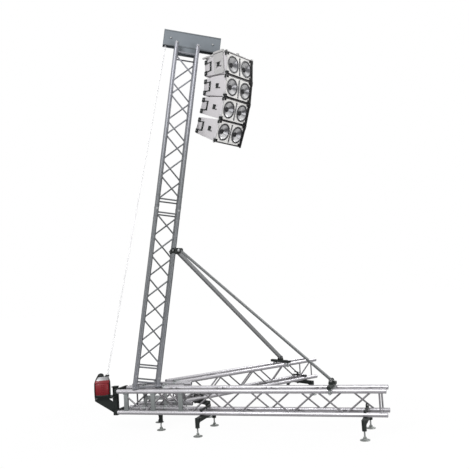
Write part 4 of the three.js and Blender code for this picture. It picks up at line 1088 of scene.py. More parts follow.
def makeClamp(name, place, node):
    bm = bmesh.new()
    y, half, reach = clamp["boltY"], clamp["half"], clamp["reach"]
    top = clamp["low"] + clamp["depth"]
    foot, handle = armUnder - clamp["headClear"], top + clamp["handleRise"]
    addBlock(bm, (-half, -reach, clamp["low"]), (half, reach, top), place, clamp["edge"])
    addTube(bm, (0, y, foot), (0, y, handle), clamp["bolt"], place=place, sides=16)
    addTurned(bm, clamp["nut"], place @ move(0, y, top), 6, loop=True)
    addTurned(bm, clamp["head"], place @ move(0, y, foot), 6)
    ends = y - clamp["handleReach"], y + clamp["handleReach"]
    addCrossTube(bm, (0, handle), *ends, clamp["handle"], place=place)
    addTurned(bm, clamp["hub"], place @ move(0, y, handle), 20)
    for end in ends:
        addTurned(bm, clamp["knob"], place @ move(0, end, handle), 16)
    finishPiece(bm, name, "black", nodes=[node])


stations = {"innerX": 1.028, "outerX": 2.842, "centreX": 0.2775}


def makeStation(name, node, place, reach, boltYs):
    makeArm(f"{name}Arm", place, reach, f"{node}_arm", boltYs)
    if boltYs:
        makeClamp(f"{name}Clamp", place, f"{node}_clamp")
    for side, y in (("left", reach), ("right", -reach)):
        makeJack(f"{name}{side.title()}Jack", place @ move(0, y, 0), f"{node}_{side}_jack")


for leg, legFrame in (("near", nearFrame), ("far", farFrame)):
    for spot in ("inner", "outer"):
        station = legFrame @ move(stations[f"{spot}X"], 0, 0)
        makeStation(f"{leg}{spot.title()}", f"{leg}_{spot}", station, arm["reach"], [clamp["boltY"]])
makeStation("centre", "centre", towerFrame @ move(stations["centreX"], 0, 0), arm["centreReach"], [])
print("feet made")


# Braces: square tube between a lug on the mast and a bar across the leg, each pinned between two cheeks.
brace = {
    "half": 0.0225, "wall": 0.003, "corner": 0.005, "nearSlim": 0.011, "farSlim": 0.0, "inset": 0.02,
    "sleeve": 0.024, "sleeveWall": 0.002, "sleeveCorner": 0.0062, "sleeveDepth": 0.028,
    "cheekIn": 0.0229, "cheekOut": 0.0309, "cheekEdge": 0.0012, "pin": 0.008, "pinReach": 0.0389,
    "nutY": 0.0319, "lugZ": 1.625, "lugX": 0.085, "lugRoot": 0.026, "lugHalf": 0.03, "lugNose": 0.027,
    "lugWidth": 0.064, "lugWay": (-0.7, 1, 0),
}
footBar = {
    "x": 2.495, "reach": 0.195, "half": 0.022, "low": 0.49, "top": 0.524, "edge": 0.004, "pinRise": 0.036,
    "cheekHalf": 0.032, "cheekSunk": 0.004, "nose": 0.022, "lugWay": (0, 1, -0.4),
}


def addCheeks(bm, outline, pin, plan):
    for side in (-1, 1):
        near, far = side * brace["cheekIn"], side * brace["cheekOut"]
        addUpright(bm, outline, near, far, plan, edge=brace["cheekEdge"])
    reach = brace["pinReach"]
    addCrossTube(bm, (pin.x, pin.z), -reach, reach, brace["pin"], place=plan, sides=20)


def makeBrace(name, side, legFrame):
    half = mast["half"]
    chord = mastFrame @ Vector((half, side * half, brace["lugZ"]))
    foot = legFrame @ Vector((footBar["x"], 0, footBar["top"] + footBar["pinRise"]))
    run = foot - chord
    plan = move(chord.x, chord.y, 0) @ Matrix.Rotation(atan2(run.y, run.x), 4, "Z")
    top = Vector((brace["lugX"], 0, chord.z))
    low = Vector((hypot(run.x, run.y), 0, foot.z))

    way, across = (low - top).normalized(), Vector((0, 1, 0))
    tube = plan @ Matrix.Translation(top - way * brace["inset"]) @ axes(across.cross(way), across, way)
    length, slim = (low - top).length + 2 * brace["inset"], brace[f"{name}Slim"]
    bm = bmesh.new()
    addSection(bm, brace["half"], brace["wall"], length, tube, brace["corner"], slim)
    depth = brace["sleeveDepth"]
    for at in (0, length - depth):
        sleeve = tube @ move(0, 0, at)
        addSection(bm, brace["sleeve"], brace["sleeveWall"], depth, sleeve, brace["sleeveCorner"], slim)
    finishPiece(bm, f"{name}Brace", f"{name}Brace", nodes=[f"{name}_brace"])

    bm, bolts = bmesh.new(), []
    root, rise = brace["lugRoot"], brace["lugHalf"]
    nose = circle(top.x, top.z, brace["lugNose"], 14, -pi / 2, pi)
    addCheeks(bm, [(root, top.z - rise), *nose, (root, top.z + rise)], top, plan)
    x, y, _ = brace["lugWay"]
    spot = (half, side * half, brace["lugZ"])
    addCoupler(bm, bolts, spot, (0, 0, 1), (x, side * y, 0), mastFrame, brace["lugWidth"])
    finishPiece(bm, f"{name}BraceLug", "black", nodes=[f"{name}_brace_lug"])

    bm, rings = bmesh.new(), bmesh.new()
    x, width, reach = footBar["x"], footBar["half"], footBar["reach"]
    corner = (x + width, reach, footBar["top"])
    addBlock(bm, (x - width, -reach, footBar["low"]), corner, legFrame, footBar["edge"])
    seat, out = footBar["top"] - footBar["cheekSunk"], footBar["cheekHalf"]
    nose = circle(low.x, low.z, footBar["nose"], 14, 0, pi)
    addCheeks(bm, [(low.x + out, seat), *nose, (low.x - out, seat)], low, plan)
    finishPiece(bm, f"{name}FootBar", "black", nodes=[f"{name}_foot_bar"])
    for end in (-1, 1):
        _, y, z = footBar["lugWay"]
        addCoupler(rings, bolts, (x, end * legs["gauge"], legHigh), (1, 0, 0), (0, end * y, z), legFrame)
    finishPiece(rings, f"{name}FootCouplers", "zinc", nodes=[f"{name}_foot_bar"])
    for point in (top, low):
        for face in (-1, 1):
            mark(bolts, plan, (point.x, face * brace["nutY"], point.z), (0, face, 0))
    growBolts(bolts, f"{name}BraceNuts", "brace")


makeBrace("near", -1, nearFrame)
makeBrace("far", 1, farFrame)
print("braces made")


# Head beam: a folded box that carries both sheaves, with its lower stub inside the mast.
head = {
    "from": -0.302, "to": 0.415, "half": 0.046, "low": 4.2, "top": 4.4, "wall": 0.006, "floor": 0.14,
    "fold": 0.001, "skin": 0.0005, "edge": 0.0008,
    "lip": 0.015, "lipGap": 0.002, "lipLow": 0.0008, "lipTop": 0.005,
    "stub": 0.107, "stubLow": 4.118, "stubOverlap": 0.001, "stubEdge": 0.0015,
}


def makeHeadBeam():
    bm = bmesh.new()
    back, front, half, low, top, wall, floor = (
        head[key] for key in ("from", "to", "half", "low", "top", "wall", "floor")
    )
    fold, skin, edge, inner = head["fold"], head["skin"], head["edge"], half - wall
    for y in (-half, inner):
        addUpright(bm, box((back, low), (front, top)), y, y + wall, mastFrame)
    addBlock(bm, (back + fold, -inner, top - wall), (front - fold, inner, top - skin), mastFrame, edge)
    addBlock(bm, (-floor, -inner, low + skin), (floor, inner, low + wall), mastFrame, edge)
    for x in (back + skin, front - wall - skin):
        addBlock(bm, (x, -inner, low + skin), (x + wall, inner, top - wall), mastFrame, edge)
    lip, gap = head["lip"], head["lipGap"]
    for start, end in ((back + wall, -floor - gap), (floor + gap, front - wall)):
        for y in (-inner, inner - lip):
            under = (start, y, low + head["lipLow"])
            addBlock(bm, under, (end, y + lip, low + head["lipTop"]), mastFrame, edge)
    stub, stubLow, stubTop = head["stub"], head["stubLow"], low + head["stubOverlap"]
    for y in (-half, inner):
        addBlock(bm, (-stub, y, stubLow), (stub, y + wall, stubTop), mastFrame, head["stubEdge"])
    for x in (-stub, stub - wall):
        addBlock(bm, (x, -inner, stubLow), (x + wall, inner, stubTop), mastFrame, head["stubEdge"])
    finishPiece(bm, "headBeam", "head", nodes=["head_beam"])


flange = {
    "out": 0.004, "depth": 0.015, "past": 0.001, "skin": 0.0005, "endOut": 0.003, "frontDepth": 0.005,
    "edge": 0.0015, "frontEdge": 0.002,
}


def makeFlanges():
    bm = bmesh.new()
    back, front, half = head["from"], head["to"], head["half"]
    past, skin, end = flange["past"], flange["skin"], half + flange["endOut"]
    low, top = head["low"] - skin, head["top"] + skin
    for y in (-half - flange["out"], half):
        for z in (low, top - flange["depth"]):
            corner = (front + past, y + flange["out"], z + flange["depth"])
            addBlock(bm, (back - past, y, z), corner, mastFrame, flange["edge"])
    frontEnd = front + flange["frontDepth"]
    addBlock(bm, (front - past, -end, low), (frontEnd, end, top), mastFrame, flange["frontEdge"])
    addBlock(bm, (back - flange["endOut"], -end, low), (back + past, end, top), mastFrame, flange["edge"])
    # Painted shade: the flanges take a darker copy of the head's grey along the beam's edges and underside.
    finishPiece(bm, "headFlanges", "headEdgeShade", nodes=["head_beam"])


axle = {
    "past": 0.01, "nutOut": 0.001, "spacer": 0.014, "spacerBore": 0.0102, "spacerFrom": 0.0205,
    "spacerTo": 0.0395,
}


def makeAxles():
    half, z = head["half"], sheave["z"]
    bm, nuts, bolts = bmesh.new(), [], []
    for x in (sheave["front"], sheave["rear"]):
        reach = half + axle["past"]
        addCrossTube(bm, (x, z), -reach, reach, sheave["axle"], place=mastFrame, sides=24)
        for face in (-1, 1):
            ends = face * axle["spacerFrom"], face * axle["spacerTo"]
            addCrossTube(bm, (x, z), *ends, axle["spacer"], axle["spacerBore"], mastFrame, 24)
            mark(nuts, mastFrame, (x, face * (half + axle["nutOut"]), z), (0, face, 0), 0.2)
    growBolts(nuts, "axleNuts", "axle", "head")
    addMastBolts(bm, bolts, [mastBolt["headHeight"]])
    finishPiece(bm, "headAxles", "steel", nodes=["head_beam"])
    growBolts(bolts, "headBolts", "structural", nodes=["head_beam"])


# One half of the wheel's section, from its bore to its groove; the other half mirrors it.
wheel = {
    "section": [
        (0.0104, -0.02), (0.022, -0.02), (0.0235, -0.0185), (0.0255, -0.0165), (0.0345, -0.0165),
        (0.037, -0.02), (0.0555, -0.02), (0.057, -0.0185), (0.057, -0.0145), (0.0555, -0.013),
        (0.0455, -0.013), (0.0455, -0.0045), (0.037, -0.0045),
    ],
    "rivets": 6, "rivetReach": 0.045, "rivetY": 0.02,
}


def makeSheave(name, x, node):
    bm = bmesh.new()
    place = mastFrame @ move(x, 0, sheave["z"])
    mirrored = [(radius, -height) for radius, height in reversed(wheel["section"])]
    addTurned(bm, wheel["section"] + mirrored, place @ turn(-90, "X"), 48, loop=True)
    finishPiece(bm, f"{name}Wheel", "steel", body=node, nodes=[node])
    rivets = []
    for x, z in circle(0, 0, wheel["rivetReach"], wheel["rivets"]):
        for face in (-1, 1):
            mark(rivets, place, (x, face * wheel["rivetY"], z), (0, face, 0))
    growBolts(rivets, f"{name}Rivets", "rivet", "zinc", body=node)


makeHeadBeam()
makeFlanges()
makeAxles()
for end in ("front", "rear"):
    makeSheave(end, sheave[end], f"{end}_sheave")
print("head made")


# What hangs on the chain: yoke, swivel stem with its eye, the flying frame and four cabinets.
arrayFrame = move(fallX, 0, 0) @ turn(-48, "Z")
yoke = {
    "top": 4.637067, "low": 4.591067, "seat": 4.607067, "bridge": 0.02, "halfX": 0.017, "halfY": 0.024,
    "wall": 0.007, "bore": 0.0102, "edge": 0.003,
}
stem = {
    "eyeZ": 4.504067,
    "shank": [(0, 0.055), (0.009, 0.055), (0.009, 0.102)],
    "head": [(0.009, 0.1034), (0.0138, 0.1034), (0.0138, 0.1135), (0.012, 0.1152), (0, 0.1152)],
    "eye": [(-0.015, 0), (0.015, 0), (0.015, 0.062), (0.009, 0.076), (-0.009, 0.076), (-0.015, 0.062)],
    "eyeHalf": 0.009, "eyeEdge": 0.002, "pin": 0.0085, "pinZ": 0.03, "pinReach": 0.0135,
}


def makeYoke():
    bm = bmesh.new()
    place = move(fallX, 0, 0)
    x, y, wall = yoke["halfX"], yoke["halfY"], yoke["wall"]
    for low in (-y, y - wall):
        addBlock(bm, (-x, low, yoke["low"]), (x, low + wall, yoke["top"]), place, yoke["edge"])
    addBlock(bm, (-x, -y, yoke["seat"] + yoke["bridge"]), (x, y, yoke["top"]), place, yoke["edge"])
    addPlate(bm, box((-x, -y), (x, y)), yoke["low"], yoke["seat"], place, [circle(0, 0, yoke["bore"])])
    finishPiece(bm, "chainYoke", "black", body="chain_end", nodes=["chain_yoke"])


def makeStem():
    bm = bmesh.new()
    place = arrayFrame @ move(0, 0, stem["eyeZ"])
    addTurned(bm, stem["shank"] + stem["head"], place, 28)
    addUpright(bm, stem["eye"], -stem["eyeHalf"], stem["eyeHalf"], place, edge=stem["eyeEdge"])
    reach = stem["pinReach"]
    addCrossTube(bm, (0, stem["pinZ"]), -reach, reach, stem["pin"], place=place, sides=20)
    finishPiece(bm, "swivelStem", "steel", body="top_cabinet", nodes=["swivel_stem"])


cabinet = {
    "half": 0.255, "height": 0.27, "depth": 0.4, "sideDepth": 0.21, "rearInset": 0.045, "wedge": 5,
    "gap": 0.006, "forward": 0.38, "drop": 0.004, "tilt": 5, "splays": (6, 8, 4), "hingeX": -0.016,
}
wedgeSlope = tan(radians(cabinet["wedge"]))

# The flying frame: x is from the cabinets' front, below zero towards the rear, and z is from its underside.
fly = {
    "low": 4.459717,
    "spine": box((-0.4, 0), (-0.026, 0.044)), "spineYs": (-0.013, 0.005), "spineThickness": 0.008,
    "holes": 9, "firstHole": -0.345, "holePitch": 0.032, "holeZ": 0.022, "hole": 0.008,
    "crossXs": (-0.374, -0.056), "crossWidth": 0.03, "crossLow": 0.0005, "crossTop": 0.021,
    "crossReach": 0.26035,
    "rail": [
        (-0.4, 0), (0, 0), (0, 0.02), (-0.055, 0.02), (-0.065, 0.044), (-0.215, 0.044), (-0.225, 0.02),
        (-0.4, 0.02),
    ],
    "railIn": -0.01365, "railOut": 0.00635, "railEdge": 0.0015,
    "pin": 0.005, "pinIn": 0.0004, "pinOut": 0.0167, "pinZ": 0.003,
    "cheekHalf": 0.013, "cheekDrop": 0.009, "cheekTop": 0.01, "cheekIn": 0.0006, "cheekOut": 0.0062,
}
# Side plates that hang from the rails over the first cabinet, round its handles, with a black strip near their
# top that is a painted shadow line
sidePlate = {
    "outline": [
        (-0.215, 0.04), (-0.215, -0.235), (-0.205, -0.245), (-0.075, -0.252), (-0.065, -0.242), (-0.065, 0.04),
    ],
    "window": box((-0.185, -0.185), (-0.1, -0.098)), "in": 0.0073, "out": 0.0099, "edge": 0.0006,
    "foldXs": (-0.2152, -0.067), "foldZs": (-0.23, -0.006), "foldWidth": 0.004, "foldIn": 0.0051,
    "foldOut": 0.0121,
    "shadowLineLow": (-0.213, 0.008), "shadowLineTop": (-0.067, 0.014), "shadowLineIn": 0.0092, "shadowLineOut": 0.0132,
}
hangFrame = arrayFrame @ move(cabinet["forward"], 0, fly["low"])


# A block beside the cabinet, from one (x, z) to another, between two distances out from its side
def addSideBlock(bm, side, low, high, near, far, place, edge=0.001):
    first, second = sorted((side * (cabinet["half"] + near), side * (cabinet["half"] + far)))
    addBlock(bm, (low[0], first, low[1]), (high[0], second, high[1]), place, edge)


# The same for an upright plate with an outline
def addSidePlate(bm, side, outline, near, far, place, holes=(), edge=0.0008):
    half = cabinet["half"]
    addUpright(bm, outline, side * (half + near), side * (half + far), place, holes, edge)


def makeFlyFrame():
    bm = bmesh.new()
    xs = [fly["firstHole"] + fly["holePitch"] * step for step in range(fly["holes"])]
    holes = [circle(x, fly["holeZ"], fly["hole"], 16) for x in xs]
    for y in fly["spineYs"]:
        addUpright(bm, fly["spine"], y, y + fly["spineThickness"], hangFrame, holes)
    reach = fly["crossReach"]
    for x in fly["crossXs"]:
        corner = (x + fly["crossWidth"], reach, fly["crossTop"])
        addBlock(bm, (x, -reach, fly["crossLow"]), corner, hangFrame)
    tilted = move(0, 0, -cabinet["drop"]) @ turn(cabinet["tilt"], "Y")
    pin = tilted @ Vector((cabinet["hingeX"], 0, fly["pinZ"]))
    half, width = cabinet["half"], fly["cheekHalf"]
    cheek = box((pin.x - width, pin.z - fly["cheekDrop"]), (pin.x + width, fly["cheekTop"]))
    for side in (-1, 1):
        addSidePlate(bm, side, fly["rail"], fly["railIn"], fly["railOut"], hangFrame, edge=fly["railEdge"])
        ends = side * (half + fly["pinIn"]), side * (half + fly["pinOut"])
        addCrossTube(bm, (pin.x, pin.z), *ends, fly["pin"], place=hangFrame)
        addSidePlate(bm, side, cheek, fly["cheekIn"], fly["cheekOut"], hangFrame)
    finishPiece(bm, "flyingFrame", "fly", body="top_cabinet", nodes=["fly_frame"])


def makeFlyPlates():
    plates, shadowLines = bmesh.new(), bmesh.new()
    size = sidePlate
    low, high = size["foldZs"]
    for side in (-1, 1):
        holes = [size["window"]]
        addSidePlate(plates, side, size["outline"], size["in"], size["out"], hangFrame, holes, size["edge"])
        for x in size["foldXs"]:
            corner = (x + size["foldWidth"], high)
            addSideBlock(plates, side, (x, low), corner, size["foldIn"], size["foldOut"], hangFrame)
        # Painted shadow: a black strip near the top of each plate.
        addSideBlock(shadowLines, side, size["shadowLineLow"], size["shadowLineTop"], size["shadowLineIn"], size["shadowLineOut"], hangFrame)
    finishPiece(plates, "flyingSidePlates", "fly", body="top_cabinet", nodes=["fly_frame"])
    finishPiece(shadowLines, "flyingPlateShadowLines", "black", body="top_cabinet", nodes=["fly_frame"])


# Each cabinet's frame stands at the middle of its front's upper edge.
def cabinetFrames():
    frames = [hangFrame @ move(0, 0, -cabinet["drop"]) @ turn(cabinet["tilt"], "Y")]
    x, gap = cabinet["hingeX"], cabinet["gap"] / 2
    for splay in cabinet["splays"]:
        hinge = frames[-1] @ move(x, 0, -cabinet["height"] - gap) @ turn(splay, "Y")
        frames.append(hinge @ move(-x, 0, -gap))
    return frames


enclosure = {"frontInset": 0.01, "frontDepth": 0.058, "edge": 0.0025}


def makeEnclosure(name, place, body, node):
    half, height, depth, side = (cabinet[key] for key in ("half", "height", "depth", "sideDepth"))
    rear = half - cabinet["rearInset"]
    plan = [(0, -half), (0, half), (-side, half), (-depth, rear), (-depth, -rear), (-side, -half)]
    bm = bmesh.new()
    top = [bm.verts.new((x, y, x * wedgeSlope)) for x, y in plan]
    low = [bm.verts.new((x, y, -height - x * wedgeSlope)) for x, y in plan]
    bm.faces.new(top)
    bm.faces.new(low[::-1])
    for step in range(len(plan)):
        after = (step + 1) % len(plan)
        bm.faces.new((top[after], top[step], low[step], low[after]))
    bmesh.ops.recalc_face_normals(bm, faces=bm.faces[:])
    front = max(bm.faces, key=lambda face: face.calc_center_median().x)
    bmesh.ops.inset_individual(bm, faces=[front], thickness=enclosure["frontInset"], depth=0)
    bmesh.ops.translate(bm, vec=(-enclosure["frontDepth"], 0, 0), verts=front.verts[:])
    roundEdges(bm, [e for e in bm.edges if e.calc_face_angle(0) > 0.3], enclosure["edge"])
    bmesh.ops.transform(bm, matrix=place, verts=bm.verts)
    finishPiece(bm, f"{name}Enclosure", "cabinet", body=body, nodes=[node])


# Drivers, with each profile as (radius, height from the panel's face)
driver = {
    "y": 0.1285, "hole": 0.102, "cone": 0.086, "coneDepth": 0.036, "cap": 0.027, "capRise": 0.013,
    "coneSteps": 8, "straightShare": 0.35, "curve": 0.8, "capSteps": 6, "screwReach": 0.1045, "screws": 8,
    "frame": [
        (0.1, -0.006), (0.108, -0.006), (0.108, 0.0015), (0.106, 0.0035), (0.102, 0.0035), (0.1, 0.0015),
    ],
    "coneUnder": [(0.024, -0.04), (0.027, -0.042), (0.087, -0.006)], "coneEdge": (0.087, 0.0005),
    "capUnder": [(0, -0.039), (0.026, -0.039)],
    "collar": [(0.025, -0.037), (0.03, -0.037), (0.031, -0.032), (0.027, -0.033)],
    "roll": 0.0935, "rollHalf": 0.0075, "rollRise": 0.0045, "rollFoot": 0.0005, "rollSteps": 8,
    "rollUnder": [(0.101, -0.004), (0.085, -0.004)], "rollEdge": (0.085, -0.002),
}


def coneProfile():
    cone, cap, depth = driver["cone"], driver["cap"], driver["coneDepth"]
    straight = driver["straightShare"]
    profile = [*driver["coneUnder"], driver["coneEdge"]]
    for step in range(1, driver["coneSteps"] + 1):
        share = step / driver["coneSteps"]
        fallen = straight * share + (1 - straight) * share ** driver["curve"]
        profile.append((cone + (cap - cone) * share, -depth * fallen))
    return profile


def capProfile():
    cap, depth, rise, steps = driver["cap"], driver["coneDepth"], driver["capRise"], driver["capSteps"]
    angles = [step * pi / 2 / steps for step in range(1, steps)]
    return [*driver["capUnder"], *[(cap * cos(a), -depth + rise * sin(a)) for a in angles], (0, -depth + rise)]


def rollProfile():
    half, rise, steps = driver["rollHalf"], driver["rollRise"], driver["rollSteps"]
    angles = [pi - step * pi / steps for step in range(steps + 1)]
    arc = [(driver["roll"] + half * cos(a), driver["rollFoot"] + rise * sin(a)) for a in angles]
    return [driver["rollEdge"], *arc, *driver["rollUnder"]][::-1]


# Baffle: a panel with its two drivers and, between them, a horn mouth of two flared cheeks
baffle = {
    "face": -0.0076, "inset": 0.0104, "thickness": 0.0078, "edge": 0.0008,
    "slotHalf": 0.013, "slotInset": 0.022,
    "flare": [(0.0128, 0.001), (0.0045, -0.0055), (0.0045, -0.0072), (0.0138, -0.0072), (0.0138, 0.001)],
    "flareInset": 0.0225, "flareEdge": 0.0004,
    "backHalf": 0.0138, "backInset": 0.021, "backDepths": (-0.0079, -0.0064), "backEdge": 0.0003,
    "vanes": 10, "firstVane": -0.034, "vanePitch": 0.0225, "vaneDepth": 0.0045,
    "vane": {"Blade Length": 0.0016, "Blade Width": 0.0092, "Blade Depth": 0.003},
}
# Dark trim on the front edge, and a black band along the foot that is a painted shadow of the gap to the
# cabinet below: each y is inward from a side, and a corner's z is from the cabinet's top.
trim = {
    "half": 0.003, "proud": 0.004, "edge": 0.001, "stripYs": (0.04, 0.001), "stripZs": (0.034, 0.034),
    "cornerZs": (-0.038, -0.266), "leftYs": (0.001, 0.032), "leftZs": (0.002, 0.032),
    "rightYs": (0.066, 0.0008), "rightDepth": 0.034, "gapShadowRises": (0.011, 0.011, 0.003, 0),
    "gapShadowInset": 0.003, "gapShadowDrop": 0.0012, "gapShadowXs": (-0.0032, 0.0025), "gapShadowEdge": 0.0008,
}


def addTrim(bm, place, gapShadowRise):
    edge, height, x = cabinet["half"], cabinet["height"], trim["half"]
    near, far = trim["stripYs"]
    low, high = trim["stripZs"]
    addBlock(bm, (-x, edge - near, -height + low), (x, edge - far, -high), place, trim["edge"])
    for z in trim["cornerZs"]:
        (near, far), (low, high) = trim["leftYs"], trim["leftZs"]
        addBlock(bm, (-x, -edge + near, z + low), (x, -edge + far, z + high), place, trim["edge"])
        near, far = trim["rightYs"]
        corner = (trim["proud"], edge - far, z + trim["rightDepth"])
        addBlock(bm, (-x, edge - near, z), corner, place, trim["edge"])
    # Painted shadow: a black band along the foot stands for the shaded gap to the cabinet below.
    if gapShadowRise:
        (back, proud), inset = trim["gapShadowXs"], edge - trim["gapShadowInset"]
        low = (back, -inset, -height - trim["gapShadowDrop"])
        addBlock(bm, low, (proud, inset, -height + gapShadowRise), place, trim["gapShadowEdge"])


def makeDrivers(name, place, body, node):
    cones, frames, rubber, screws = bmesh.new(), bmesh.new(), bmesh.new(), []
    middle = -cabinet["height"] / 2
    for side in (-1, 1):
        centre = place @ move(baffle["face"], side * driver["y"], middle) @ turn(90, "Y")
        addTurned(frames, driver["frame"], centre, 64, loop=True)
        addTurned(cones, coneProfile(), centre, 64, loop=True)
        addTurned(rubber, capProfile(), centre, 48)
        addTurned(rubber, rollProfile(), centre, 64, loop=True)
        addTurned(rubber, driver["collar"], centre, 48, loop=True)
        step = pi / driver["screws"]
        for x, y in circle(0, 0, driver["screwReach"], driver["screws"], step):
            mark(screws, centre, (x, y, driver["frame"][3][1]), (0, 0, 1))
    # Each cone point keeps its direction from its driver's axis, which places the painted highlight fans.
    spin = cones.verts.layers.float_vector.new("spin")
    inward = place.inverted()
    for vert in cones.verts:
        spot = inward @ vert.co
        y = spot.y - (driver["y"] if spot.y > 0 else -driver["y"])
        vert[spin] = Vector((y, spot.z - middle, 0)).normalized()
    finishPiece(cones, f"{name}Cones", "cone", body=body, nodes=[node])
    finishPiece(frames, f"{name}DriverFrames", "basket", body=body, nodes=[node])
    finishPiece(rubber, f"{name}Surrounds", "surround", body=body, nodes=[node])
    growBolts(screws, f"{name}Screws", "driver", body=body)


def makeFront(name, place, body, node, gapShadowRise):
    face, height = baffle["face"], cabinet["height"]
    half, inset = cabinet["half"] - baffle["inset"], baffle["inset"]
    slotHalf, slotInset = baffle["slotHalf"], baffle["slotInset"]
    bm = bmesh.new()
    outline = box((-half, -height + inset), (half, -inset))
    holes = [circle(side * driver["y"], -height / 2, driver["hole"], 48) for side in (-1, 1)]
    holes.append(box((-slotHalf, -height + slotInset), (slotHalf, -slotInset)))
    addCrosswise(bm, outline, face - baffle["thickness"], face, place, holes, baffle["edge"])
    finishPiece(bm, f"{name}Panel", "panel", body=body, nodes=[node])
    makeDrivers(name, place, body, node)

    flares, dark = bmesh.new(), bmesh.new()
    across = Matrix(((0, 1, 0, 0), (1, 0, 0, 0), (0, 0, 1, 0), (0, 0, 0, 1)))
    inset = baffle["flareInset"]
    for side in (-1, 1):
        mouth = [(side * y, face + x) for y, x in baffle["flare"]]
        addPlate(flares, mouth, -height + inset, -inset, place @ across, edge=baffle["flareEdge"])
    finishPiece(flares, f"{name}HornFlare", "basket", body=body, nodes=[node])
    # The dark sheet behind the horn mouth is a painted shade of its deep throat.
    back, proud = baffle["backDepths"]
    low = (face + back, -baffle["backHalf"], -height + baffle["backInset"])
    high = (face + proud, baffle["backHalf"], -baffle["backInset"])
    addBlock(dark, low, high, place, baffle["backEdge"])
    addTrim(dark, place, gapShadowRise)
    finishPiece(dark, f"{name}SlotShadeAndTrim", "dark", body=body, nodes=[node])
    vanes = []
    for step in range(baffle["vanes"]):
        z = baffle["firstVane"] - baffle["vanePitch"] * step
        mark(vanes, place, (face - baffle["vaneDepth"], 0, z), (1, 0, 0))
    growOnPoints(vanes, f"{name}Vanes", "blade", "dark", baffle["vane"], body=body)


# Side bars with ears, x from the cabinet's front and z from its top. near and far are out from its side.
rigging = {
    "rod": 0.005, "rodOut": 0.0167, "half": 0.015, "ear": 0.014, "near": 0.00035, "mid": 0.00635,
    "far": 0.0127, "lap": 0.0002, "lowEarTop": 0.034, "barFoot": 0.0345, "barTop": -0.017,
    "barCorner": (0.006, 0.013),
    "topEarFoot": -0.045, "topEarIn": 0.002, "hole": 0.0058, "pinTop": -0.06, "pinFoot": 0.05,
}


def addSideBars(black, bars, pins, side, place):
    height, gap, x = cabinet["height"], cabinet["gap"] / 2, cabinet["hingeX"]
    half, near, mid, far = (rigging[key] for key in ("half", "near", "mid", "far"))
    reach, low, seat = cabinet["half"] + rigging["rodOut"], -height - gap, -height + rigging["lowEarTop"]
    lowEar = [*circle(x, low, rigging["ear"], 18, pi, pi), (x + half, seat), (x - half, seat)]
    addSidePlate(black, side, lowEar, near, mid, place)
    foot, top, (cutX, cutZ) = -height + rigging["barFoot"], rigging["barTop"], rigging["barCorner"]
    bar = [
        (x - half, foot), (x + half, foot), (x + half, top - cutZ), (x + half - cutX, top),
        (x - half + cutX, top), (x - half, top - cutZ),
    ]
    addSidePlate(bars, side, bar, near, mid, place)
    seat, inner = rigging["topEarFoot"], half - rigging["topEarIn"]
    topEar = [(x + inner, seat), *circle(x, gap, rigging["ear"], 18, 0, pi), (x - inner, seat)]
    holes = [circle(x, gap, rigging["hole"], 16)]
    addSidePlate(black, side, topEar, mid - rigging["lap"], far, place, holes)
    mark(pins, place, (x, side * reach, low), (0, side, 0))
    for z in (rigging["pinTop"], -height + rigging["pinFoot"]):
        mark(pins, place, (x, side * (cabinet["half"] + mid), z), (0, side, 0))


# The angled brace on the side's tapered rear: x runs rearward from where the taper starts, and z is from the
# cabinet's top. rearX, rearPin and the x of blocks and plates are measured from the rear end instead.
angled = {
    "bar": [(0.05, -0.07), (0.084, -0.084), (0.084, -0.178), (0.05, -0.192)],
    "rearX": 0.05, "rearZs": (-0.078, -0.088, -0.184, -0.194), "levels": (0.0004, 0.0048),
    "blockZs": (-0.066, -0.204), "block": (0.056, 0.006, 0.026), "blockLevels": (0.0046, 0.011),
    "plate": (0.056, 0.01, 0.02), "plateLevels": (0.0004, 0.0047), "plateEdge": 0.0005,
    "rearPin": 0.031, "frontPin": (0.067, -0.135),
}


def addAngledBrace(bm, pins, side, place):
    start = Vector((-cabinet["sideDepth"], side * cabinet["half"], 0))
    end = Vector((-cabinet["depth"], side * (cabinet["half"] - cabinet["rearInset"]), 0))
    rearward = (end - start).normalized()
    outward = Vector((-abs(rearward.y), side * abs(rearward.x), 0))
    upward = outward.cross(rearward)
    panel = place @ Matrix.Translation(start) @ axes(rearward, upward, outward)
    length = (end - start).length

    # Outlines are drawn as seen from outside on one side, and mirrored for the other.
    def addFlat(points, levels, edge=0.001):
        outline = [(x, side * z) for x, z in points]
        addPlate(bm, outline[::side], *levels, panel, edge=edge)

    rear = length - angled["rearX"]
    upper, upperFoot, lowerTop, lower = ((rear, z) for z in angled["rearZs"])
    first, inner, innerLow, last = angled["bar"]
    addFlat([first, upper, upperFoot, inner, innerLow, lowerTop, lower, last], angled["levels"])
    for z in angled["blockZs"]:
        for (far, near, rise), levels, edge in (
            (angled["block"], angled["blockLevels"], 0.001),
            (angled["plate"], angled["plateLevels"], angled["plateEdge"]),
        ):
            addFlat(box((length - far, z - rise), (length - near, z + rise)), levels, edge)
        mark(pins, panel, (length - angled["rearPin"], side * z, angled["blockLevels"][1]), (0, 0, 1))
    x, z = angled["frontPin"]
    mark(pins, panel, (x, side * z, angled["levels"][1]), (0, 0, 1))


# Recessed grip on each side: a rim, a dark back and a short bar across it
grip = {
    "rim": [
        (-0.106, -0.036), (-0.172, -0.036), (-0.176, -0.032), (-0.176, 0.032), (-0.172, 0.036),
        (-0.106, 0.036), (-0.102, 0.032), (-0.102, -0.032),
    ],
    "opening": [(-0.117, -0.03), (-0.166, -0.03), (-0.166, 0.03), (-0.117, 0.03)],
    "rimOut": (0.0002, 0.003), "backOut": (0.0001, 0.0009),
    "bar": 0.0042, "barXs": (-0.112, -0.164), "barZ": 0.018, "barOut": 0.0045,
    "catchLow": (-0.118, -0.03), "catchTop": (-0.092, -0.02), "catchOut": (0.0015, 0.0055),
}


